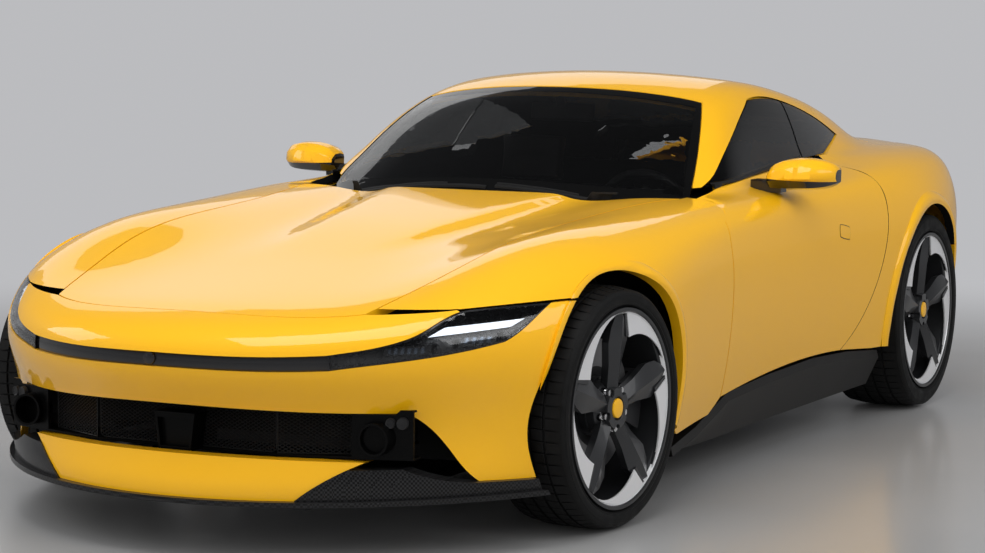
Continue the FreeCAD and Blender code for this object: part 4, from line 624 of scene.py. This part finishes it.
def camera_pod(form):
    for radius, depth in ((0.0190, 0.022), (0.0125, 0.0236)):
        housing = add_cone(form, 32, radius, radius * 0.9, depth)
        rims = [item for item in form.edges if all(vert in housing and vert.co.z > 0 for vert in item.verts)]
        bevel_edges(form, rims, 0.0035, 3)
    bmesh.ops.transform(form, verts=form.verts[:], matrix=Matrix.Translation((2.3160, 0, 0.5265)) @ FACE_AHEAD)


add_piece("camera_pod", camera_pod, gloss_black, 30, "body")


# The headlamps: a moulded black housing, a white light guide with fine ribs for the running
# light, two projector lenses, and a clear moulded cover sealed over all of it.
def add_ribs(nodes, links, scale):
    """Upright ribs, side by side across the car."""
    ribs = nodes.new("ShaderNodeTexWave")
    ribs.bands_direction = "Y"
    ribs.inputs["Scale"].default_value = scale
    link_place(nodes, links, ribs.inputs["Vector"])
    return ribs.outputs["Fac"]


housing_black, nodes, links, shader = new_material("housing_black", (0.008, 0.008, 0.009), 0.22, 0.0, 0.4)
add_range(nodes, links, add_noise(nodes, links, 60), 0.16, 0.34, shader.inputs["Roughness"])
finish_nodes(housing_black, "headlamps")
bar_white, nodes, links, shader = new_material("running_light_white", (0.9, 0.93, 1.0), 0.25)
shader.inputs["Emission Color"].default_value = (0.88, 0.94, 1.0, 1)
shader.inputs["Emission Strength"].default_value = 1.15
add_bump(nodes, links, add_ribs(nodes, links, 60), shader.inputs["Normal"], 0.2, 0.0006)
finish_nodes(bar_white, "running_lights")
clear_cover = new_glass("clear_cover", (0.93, 0.94, 0.95), (0.90, 0.92, 0.94), (0.95, 0.96, 0.97), 4, 1.42)
finish_nodes(clear_cover, "lamp_covers")
lens_glass, nodes, links, shader = new_material("projector_glass", (0.05, 0.065, 0.085), 0.04, 0.75, 1.0)
add_tint(nodes, links, add_ribs(nodes, links, 24), (0.015, 0.018, 0.025), (0.16, 0.20, 0.26),
         shader.inputs["Base Color"], 0.2, 0.9)
lamp_front = surface_of("headlamps")
for side, turn in SIDES:
    def lenses(form):
        for y, z, half_width, half_height in ((0.617, 0.5525, 0.038, 0.0075), (0.744, 0.5725, 0.028, 0.0085)):
            eye = rounded((2.1, turn * y, z), (0, 1, 0), (0, 0, 1), half_width, half_height, 0.5)
            lay(form, lamp_front, eye, (-1, 0, 0), 0.003, 0.004, 10, 6)

    add_piece("projector_lens_" + side, lenses, lens_glass, 40, "body")

# The tail lamps: one slim red lens at each side, moulded in clear red plastic with upright ribs
# on its inner face, and sealed to the bumper's upper edge.
red_lens, nodes, links, shader = new_material("red_lens", (0.35, 0.006, 0.008), 0.08, 0.0, 1.0)
shader.inputs["Emission Color"].default_value = (0.8, 0.01, 0.01, 1)
shader.inputs["Emission Strength"].default_value = 0.15
add_tint(nodes, links, add_ribs(nodes, links, 26), (0.16, 0.002, 0.003), (0.48, 0.010, 0.012),
         shader.inputs["Base Color"], 0.2, 0.8)
finish_nodes(red_lens, "tail_lamps")

# The rear number plate: a blank plate pressed from sheet, painted white, and held on the bumper
# by a thin dark rim of rubber.
plate_white, nodes, links, shader = new_material("plate_white", (0.72, 0.72, 0.70), 0.4)
add_bump(nodes, links, add_noise(nodes, links, 300), shader.inputs["Normal"], 0.05, 0.0002)
tail_surface = surface_of("rear_bumper")
for name, half_width, half_height, lift, material, slot in (
        ("plate_rim", 0.268, 0.063, 0.0004, rubber_trim, "gloss_black"),
        ("number_plate", 0.26, 0.055, 0.0010, plate_white, "body_paint")):
    plate = rounded((-2.2, 0, 0.545), (0, 1, 0), (0, 0, 1), half_width, half_height, 0.05)
    add_patch(name, tail_surface, plate, (1, 0, 0), lift, 0.003, (20, 8), material, "body")

# The wipers: two black pressed arms with rubber blades, parked along the foot of the windscreen
# and carried on pivots at the cowl.
BLADE_SET_BACK = Vector((-0.014, 0, 0))
screen_surface = surface_of("windscreen", "hood")
for name, marks in (
        ("wiper_driver", ((0.447, 0.03, 1.1), (0.440, -0.12, 1.1), (0.418, -0.32, 1.1), (0.375, -0.50, 1.1))),
        ("wiper_passenger", ((0.395, 0.47, 1.1), (0.420, 0.34, 1.1), (0.436, 0.18, 1.1), (0.440, 0.06, 1.1)))):
    def wiper(form):
        blade = [Vector(mark) + BLADE_SET_BACK for mark in marks[1:]]
        lay(form, screen_surface, ribbon(marks, (1, 0, 0), 0.0045), (0, 0, -1), 0.0075, 0.006, 24, 2)
        lay(form, screen_surface, ribbon(blade, (1, 0, 0), 0.003), (0, 0, -1), 0.0045, 0.004, 24, 2)

    add_piece(name, wiper, rubber_trim, 30, "body")


# The wheels: forged alloy in satin dark grey, with five sickles and an outer lip turned bright on
# a lathe, a plain yellow cap and five bolts. The steel brake disc turns with the wheel.
def add_rings(nodes, links, scale):
    """The fine rings that a lathe leaves, by each point's distance from the spindle."""
    turning = nodes.new("ShaderNodeAttribute")
    turning.attribute_name = "turning"
    rings = nodes.new("ShaderNodeTexWave")
    rings.inputs["Scale"].default_value = scale
    spread = nodes.new("ShaderNodeCombineXYZ")
    links.new(turning.outputs["Fac"], spread.inputs["X"])
    links.new(spread.outputs["Vector"], rings.inputs["Vector"])
    return rings.outputs["Fac"]


rubber, nodes, links, shader = new_material("tyre_rubber", (0.006, 0.006, 0.006), 0.66)
shader.inputs["Specular IOR Level"].default_value = 0.2
scuff = add_noise(nodes, links, 30, 4)
add_tint(nodes, links, scuff, (0.0035, 0.0035, 0.0035), (0.008, 0.008, 0.008), shader.inputs["Base Color"])
add_range(nodes, links, scuff, 0.5, 0.7, shader.inputs["Roughness"])
dark_alloy, nodes, links, shader = new_material("dark_alloy", (0.034, 0.035, 0.037), 0.34, 0.5, 0.3)
add_tint(nodes, links, add_noise(nodes, links, 1800, 1), (0.026, 0.027, 0.029), (0.042, 0.043, 0.046),
         shader.inputs["Base Color"])
bright_alloy, nodes, links, shader = new_material("bright_alloy", (0.90, 0.90, 0.91), 0.34, 0.55)
add_bump(nodes, links, add_rings(nodes, links, 260), shader.inputs["Normal"], 0.12, 0.0002)
disc_steel, nodes, links, shader = new_material("disc_steel", (0.34, 0.34, 0.345), 0.4, 0.8)
add_tint(nodes, links, add_rings(nodes, links, 120), (0.26, 0.26, 0.265), (0.40, 0.40, 0.41),
         shader.inputs["Base Color"], 0.2, 0.8)
bolt_chrome, nodes, links, shader = new_material("bolt_chrome", (0.75, 0.75, 0.76), 0.16, 1.0)
add_range(nodes, links, add_noise(nodes, links, 200), 0.12, 0.24, shader.inputs["Roughness"])

ARMS = 5
ARM_PITCH = 72
SICKLE_STEPS = 14
SICKLE_THICKNESS = 0.0045
SICKLE_OUTER = 0.2655
SICKLE_TIP = 0.2640
SICKLE_WIDTH = 0.064
OUTER_START, OUTER_SWEEP = 6, 58
INNER_START, INNER_SWEEP = 12, 50
LIP_OUTER = 0.2690
LIP_INNER = 0.2625
FLANGE_MOUTH = 0.272
FLANGE_SLOPE = 20.0 / 14.0
BOLT_CIRCLE = 0.05715
BOLT_HEAD_Y = 0.0900
RIM_SEAT = 0.2673
TREAD_DEPTH = 0.007
BLOCK_HEIGHT = 0.0115
TREAD_SKEW = 0.006
TREAD_INSET = 0.012
SHOULDER_DROP = 0.0062
CROWN_DROP = 0.0028
PITCHES = 64
ROUND_STEPS = 96
# Each rib of the tread: its edges as shares of the tread's half width, and its slits' width.
RIBS = ((-1.0, -0.60, 0.0050), (-0.53, -0.215, 0.0028), (-0.145, 0.145, 0.0016), (0.215, 0.53, 0.0028),
        (0.60, 1.0, 0.0050))


def wheel_place(end, side):
    """Takes a wheel's own frame, with Y out along its spindle, to the wheel's place at rest."""
    name = "wheel_%s_%s_spin" % (end, side)
    spin = [joint for joint in frame["record"]["behaviour"]["joints"] if joint["name"] == name][0]
    steer = Matrix.Rotation(math.atan2(-spin["axis"][0], spin["axis"][1]), 4, "Z")
    flip = Matrix.Identity(4) if side == "left" else Matrix.Scale(-1, 4, (0, 1, 0))
    return Matrix.Translation(spin["pos_m"]) @ steer @ flip


def full_turn(form, marks, steps):
    """Marks (y, radius) turned round the spindle."""
    line = [form.verts.new((0, y, radius)) for y, radius in marks]
    edges = [form.edges.new(pair) for pair in zip(line, line[1:])]
    bmesh.ops.spin(form, geom=line + edges, cent=(0, 0, 0), axis=(0, 1, 0), angle=math.tau, steps=steps, use_merge=True)


def weld(form):
    bmesh.ops.remove_doubles(form, verts=form.verts[:], dist=TOUCHING)


def settle(form, place):
    bmesh.ops.transform(form, verts=form.verts[:], matrix=place)
    bmesh.ops.recalc_face_normals(form, faces=form.faces[:])


def mark_turning(piece, place):
    """Notes each point's distance from the spindle, for the lathe's fine rings."""
    back = place.inverted()
    local = [back @ vert.co for vert in piece.data.vertices]
    radii = [math.hypot(spot.x, spot.z) for spot in local]
    piece.data.attributes.new("turning", "FLOAT", "POINT").data.foreach_set("value", radii)


for end, radius, half, face_y in (("front", 0.340, 0.1225, 0.1145), ("rear", 0.354, 0.1375, 0.1295)):
    for side in ("left", "right"):
        body = "wheel_%s_%s" % (end, side)
        ending = "_%s_%s" % (end, side)
        place = wheel_place(end, side)
        finish_nodes(dark_alloy, "rim" + ending)

        # The tyre: a moulded rubber carcass with five ribs of tread blocks, cut by grooves and
        # narrow slits, seated on the rim by its beads.
        def tread_block(form, low, high, slit):
            """One block of the tread at the wheel's top; returns its faces."""
            tread = half - TREAD_INSET
            y0, y1 = low * tread, high * tread
            length = math.tau * (radius - 0.004) / PITCHES - slit
            block = bmesh.ops.create_cube(form, size=1)["verts"]
            bmesh.ops.scale(form, verts=block, vec=(length, y1 - y0, BLOCK_HEIGHT))
            bmesh.ops.translate(form, verts=block, vec=(0, (y0 + y1) / 2, radius - 0.0007 - BLOCK_HEIGHT / 2))
            for vert in block:
                share = abs(vert.co.y) / tread
                shoulder = SHOULDER_DROP if share > 0.95 and vert.co.z > radius - 0.004 else 0
                vert.co.z -= CROWN_DROP * share * share + shoulder
                vert.co.x += TREAD_SKEW * vert.co.y / tread
            edges = {edge for vert in block for edge in vert.link_edges}
            rims = [edge for edge in edges if min(vert.co.z for vert in edge.verts) > radius - 0.009]
            faces = list(bevel_edges(form, rims, 0.0012, 1)["faces"])
            return faces + [face for vert in block if vert.is_valid for face in vert.link_faces]

        def tyre(form):
            carcass = [(half - 0.0200, RIM_SEAT), (half - 0.0178, 0.2755), (half - 0.0170, 0.2830),
                       (half - 0.0125, 0.2855), (half - 0.0060, 0.2880), (half - 0.0022, 0.2930),
                       (half - 0.0030, 0.2960), (half - 0.0008, 0.3000), (half - 0.0006, 0.3080),
                       (half - 0.0022, radius - 0.0220), (half - 0.0034, radius - 0.0215),
                       (half - 0.0050, radius - 0.0165), (half - 0.0105, radius - 0.0110),
                       (half - 0.0180, radius - 0.0085)]
            crown = [(0.0, radius - 0.0004 - TREAD_DEPTH)]
            full_turn(form, carcass + crown + [(-y, r) for y, r in carcass[::-1]], ROUND_STEPS)
            first = {face for rib in RIBS for face in tread_block(form, *rib)}
            linked = first | {face for block_face in first for edge in block_face.edges for face in edge.link_faces}
            edges = {edge for face in linked for edge in face.edges}
            verts = {vert for face in linked for vert in face.verts}
            bmesh.ops.spin(form, geom=list(linked) + list(edges) + list(verts), cent=(0, 0, 0), axis=(0, 1, 0),
                           angle=math.tau * (PITCHES - 1) / PITCHES, steps=PITCHES - 1, use_duplicate=True)
            settle(form, place)

        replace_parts(add_piece("road_tyre" + ending, tyre, rubber, 32, body), "tyre" + ending)

        def sickles(form):
            for arm in range(ARMS):
                outer, inner = [], []
                for step in range(SICKLE_STEPS + 1):
                    share = step / SICKLE_STEPS
                    out_angle = math.radians(-(OUTER_START + OUTER_SWEEP * share) + ARM_PITCH * arm)
                    in_angle = math.radians(-(INNER_START + INNER_SWEEP * share) + ARM_PITCH * arm)
                    reach = SICKLE_TIP - SICKLE_WIDTH * (1 - share) ** 1.25
                    outer.append(form.verts.new((SICKLE_OUTER * math.sin(out_angle), 0,
                                                 SICKLE_OUTER * math.cos(out_angle))))
                    inner.append(form.verts.new((reach * math.sin(in_angle), 0, reach * math.cos(in_angle))))
                edges = [form.edges.new(pair) for line in (outer, inner) for pair in zip(line, line[1:])]
                bmesh.ops.bridge_loops(form, edges=edges)
            weld(form)
            grown = bmesh.ops.extrude_face_region(form, geom=form.faces[:])["geom"]
            bmesh.ops.translate(form, verts=[item for item in grown if isinstance(item, bmesh.types.BMVert)],
                                vec=(0, SICKLE_THICKNESS, 0))
            bmesh.ops.translate(form, verts=form.verts[:], vec=(0, face_y - 0.0060, 0))
            settle(form, place)

        def turned(marks, steps):
            """Makes a piece of the wheel by turning marks round the spindle."""
            def maker(form):
                full_turn(form, marks, steps)
                weld(form)
                settle(form, place)
            return maker

        outer_y = face_y - FLANGE_SLOPE * (FLANGE_MOUTH - LIP_OUTER)
        inner_y = face_y - FLANGE_SLOPE * (FLANGE_MOUTH - LIP_INNER)
        lip = [(outer_y + 0.0044, LIP_OUTER), (inner_y + 0.0044, LIP_INNER), (inner_y + 0.0034, LIP_INNER),
               (outer_y + 0.0030, LIP_OUTER), (outer_y + 0.0044, LIP_OUTER)]
        disc = [(0.0266, 0.1885), (0.0266, 0.1120), (0.0261, 0.1120), (0.0261, 0.1885), (0.0266, 0.1885)]
        dome = [(face_y - 0.0195, 0.0275), (face_y - 0.0125, 0.0275), (face_y - 0.0105, 0.0262),
                (face_y - 0.0092, 0.0215), (face_y - 0.0083, 0.0120), (face_y - 0.0080, 0.0)]
        for name, maker, material, slot in (("bright_sickles", sickles, bright_alloy, "rim"),
                                            ("bright_lip", turned(lip, ROUND_STEPS), bright_alloy, "rim"),
                                            ("disc_face", turned(disc, ROUND_STEPS), disc_steel, "pipe")):
            mark_turning(add_piece(name + ending, maker, material, 30, body), place)
        add_piece("hub_cap" + ending, turned(dome, 40), paint, 40, body)

        def bolts(form):
            for arm in range(ARMS):
                angle = math.radians(ARM_PITCH * arm + ARM_PITCH / 2)
                head = add_cone(form, 6, 0.0098, 0.0098, 0.012)
                collar = add_cone(form, 20, 0.0122, 0.0105, 0.004)
                bmesh.ops.translate(form, verts=collar, vec=(0, 0, -0.006))
                spot = (BOLT_CIRCLE * math.sin(angle), BOLT_HEAD_Y, BOLT_CIRCLE * math.cos(angle))
                bmesh.ops.transform(form, verts=head + collar,
                                    matrix=Matrix.Translation(spot) @ Matrix.Rotation(math.radians(-90), 4, "X"))
            settle(form, place)

        add_piece("wheel_bolts" + ending, bolts, bolt_chrome, 30, body)

# Behind the wheels: knuckles and suspension in cast and forged alloy with a sandy skin, and the
# engine's block. The exhaust is rolled steel, browned here and there by heat.
cast_metal, nodes, links, shader = new_material("cast_metal", (0.045, 0.045, 0.048), 0.5, 0.6)
add_bump(nodes, links, add_noise(nodes, links, 500, 3), shader.inputs["Normal"], 0.3, 0.0004)
finish_nodes(cast_metal, "knuckle_front_left", "knuckle_front_right", "knuckle_rear_left", "knuckle_rear_right",
             "front_suspension", "rear_suspension", "engine")
steel, nodes, links, shader = new_material("brushed_steel", (0.5, 0.48, 0.45), 0.28, 1.0)
heat = add_noise(nodes, links, 12)
add_tint(nodes, links, heat, (0.42, 0.38, 0.34), (0.56, 0.55, 0.54), shader.inputs["Base Color"])
add_range(nodes, links, heat, 0.2, 0.38, shader.inputs["Roughness"])
finish_nodes(steel, "exhaust")


# The cabin's hard trim: foam-backed black skin with fine pores over the dashboard and console,
# a leather-bound steering wheel, a mirror on the roof's edge and a screen before the driver.
def add_pores(nodes, links, scale):
    pores = nodes.new("ShaderNodeTexVoronoi")
    pores.inputs["Scale"].default_value = scale
    link_place(nodes, links, pores.inputs["Vector"])
    return pores.outputs["Distance"]


def lean(degrees):
    """A lean in the car's side view."""
    return Matrix.Rotation(math.radians(degrees), 3, "Y")


def box_piece(form, size, place, bevel, tilt):
    block = bmesh.ops.create_cube(form, size=1)["verts"]
    bmesh.ops.scale(form, verts=block, vec=size)
    result = bevel_edges(form, list({edge for vert in block for edge in vert.link_edges}), bevel, 3)
    verts = list(set(result["verts"]) | {vert for vert in block if vert.is_valid})
    bmesh.ops.rotate(form, verts=verts, cent=(0, 0, 0), matrix=tilt)
    bmesh.ops.translate(form, verts=verts, vec=place)


def cabin_mirror(form):
    box_piece(form, (0.022, 0.235, 0.062), (-0.190, 0, 1.085), 0.009, lean(-12))
    box_piece(form, (0.020, 0.030, 0.050), (-0.172, 0, 1.125), 0.006, lean(20))


def dash_screen(form):
    box_piece(form, (0.012, 0.24, 0.075), (0.05, 0.36, 0.815), 0.004, lean(-14))


soft_trim, nodes, links, shader = new_material("soft_trim", (0.014, 0.0135, 0.013), 0.55)
add_bump(nodes, links, add_pores(nodes, links, 420), shader.inputs["Normal"], 0.25, 0.0004)
finish_nodes(soft_trim, "dashboard", "console", "steering_wheel", "seat_bases")
add_piece("cabin_mirror", cabin_mirror, soft_trim, 30, "body")
add_piece("dash_screen", dash_screen, gloss_black, 30, "body")

# The seats: foam pads in black leather, sewn in channels, with raised bolsters at the sides.
# Each is a crowned closed form whose sides pull in between its corners.
PAD_CUTS = 13
BOLSTER_START = 0.55
CHANNEL_REACH = 0.58
CHANNEL_DEPTH = 0.006
CROWN_RISE = 0.012
leather, nodes, links, shader = new_material("black_leather", (0.016, 0.015, 0.015), 0.42)
add_bump(nodes, links, add_pores(nodes, links, 260), shader.inputs["Normal"], 0.3, 0.0006)
wear = add_noise(nodes, links, 8, 3)
add_tint(nodes, links, wear, (0.012, 0.011, 0.011), (0.022, 0.020, 0.020), shader.inputs["Base Color"])


def pad(form, foot, crown, half_width, thickness, bolster, channels, centre_y):
    """A pad along the line from foot to crown in the car's side view; bolsters rise at its sides."""
    foot, crown = Vector(foot), Vector(crown)
    run = (crown - foot).normalized()
    rise = Vector((-run.z, 0, run.x))
    if rise.x < 0 and abs(run.z) > 0.5:
        rise = -rise
    block = bmesh.ops.create_cube(form, size=2)["verts"]
    edges = list({edge for vert in block for edge in vert.link_edges})
    bmesh.ops.subdivide_edges(form, edges=edges, cuts=PAD_CUTS, use_grid_fill=True)
    length = (crown - foot).length
    for vert in [vert for vert in form.verts if not vert.tag]:
        u, v, w = vert.co
        round_off = (1 - 0.10 * v ** 6) * (1 - 0.10 * abs(w) ** 3)
        along = u * (1 - 0.045 * v * v) * (1 - 0.10 * abs(w) ** 4)
        side = v * (1 - 0.05 * (1 - u * u)) * (1 - 0.08 * abs(w) ** 4)
        top = 0.0
        if w > 0:
            beside = max(0.0, abs(v) - BOLSTER_START) / (1 - BOLSTER_START)
            top = bolster * beside * (1 - 0.5 * u ** 4) + CROWN_RISE * (1 - v * v)
            if abs(v) < CHANNEL_REACH:
                top -= CHANNEL_DEPTH * math.exp(-((((u + 1) * channels / 2) % 1) - 0.5) ** 2 / 0.006)
            top *= w
        vert.co = (foot + crown) / 2 + run * (along * length / 2) + rise * (w * thickness / 2 * round_off + top)
        vert.co.y = centre_y + side * half_width
        vert.tag = True


def add_seat_piece(name, replaced, *pads):
    """One piece of the seats, made of its pads and rounded by a subdivision. Each pad: its foot
    and crown, half width, thickness, bolster's rise, channels and centre."""
    def all_pads(form):
        for values in pads:
            pad(form, *values)
        bmesh.ops.recalc_face_normals(form, faces=form.faces[:])

    piece = add_piece(name, all_pads, leather, 60, "body")
    rounding = piece.modifiers.new("rounding", "SUBSURF")
    rounding.levels = 1
    rounding.render_levels = 1
    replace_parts(piece, replaced)


# The front seats stand beside the tunnel, and the rear pads lie side by side behind them.
SEAT_Y = 0.36
REAR_PAD_Y = 0.215
for side, turn in SIDES:
    for name, pad_values in (("seat_cushion_", ((-0.505, 0, 0.262), (-0.070, 0, 0.288), 0.205, 0.085, 0.034, 5)),
                             ("seat_back_", ((-0.545, 0, 0.270), (-0.695, 0, 0.800), 0.205, 0.095, 0.036, 6)),
                             ("head_rest_", ((-0.690, 0, 0.815), (-0.712, 0, 0.975), 0.120, 0.060, 0.004, 1))):
        add_seat_piece(name + side, "front_seats", (*pad_values, turn * SEAT_Y))
for side, turn in SIDES:
    add_seat_piece("rear_pad_" + side, "rear_seats",
                   ((-0.965, 0, 0.432), (-0.745, 0, 0.430), 0.200, 0.055, 0.012, 3, turn * REAR_PAD_Y),
                   ((-0.905, 0, 0.480), (-0.968, 0, 0.785), 0.200, 0.060, 0.014, 4, turn * REAR_PAD_Y))
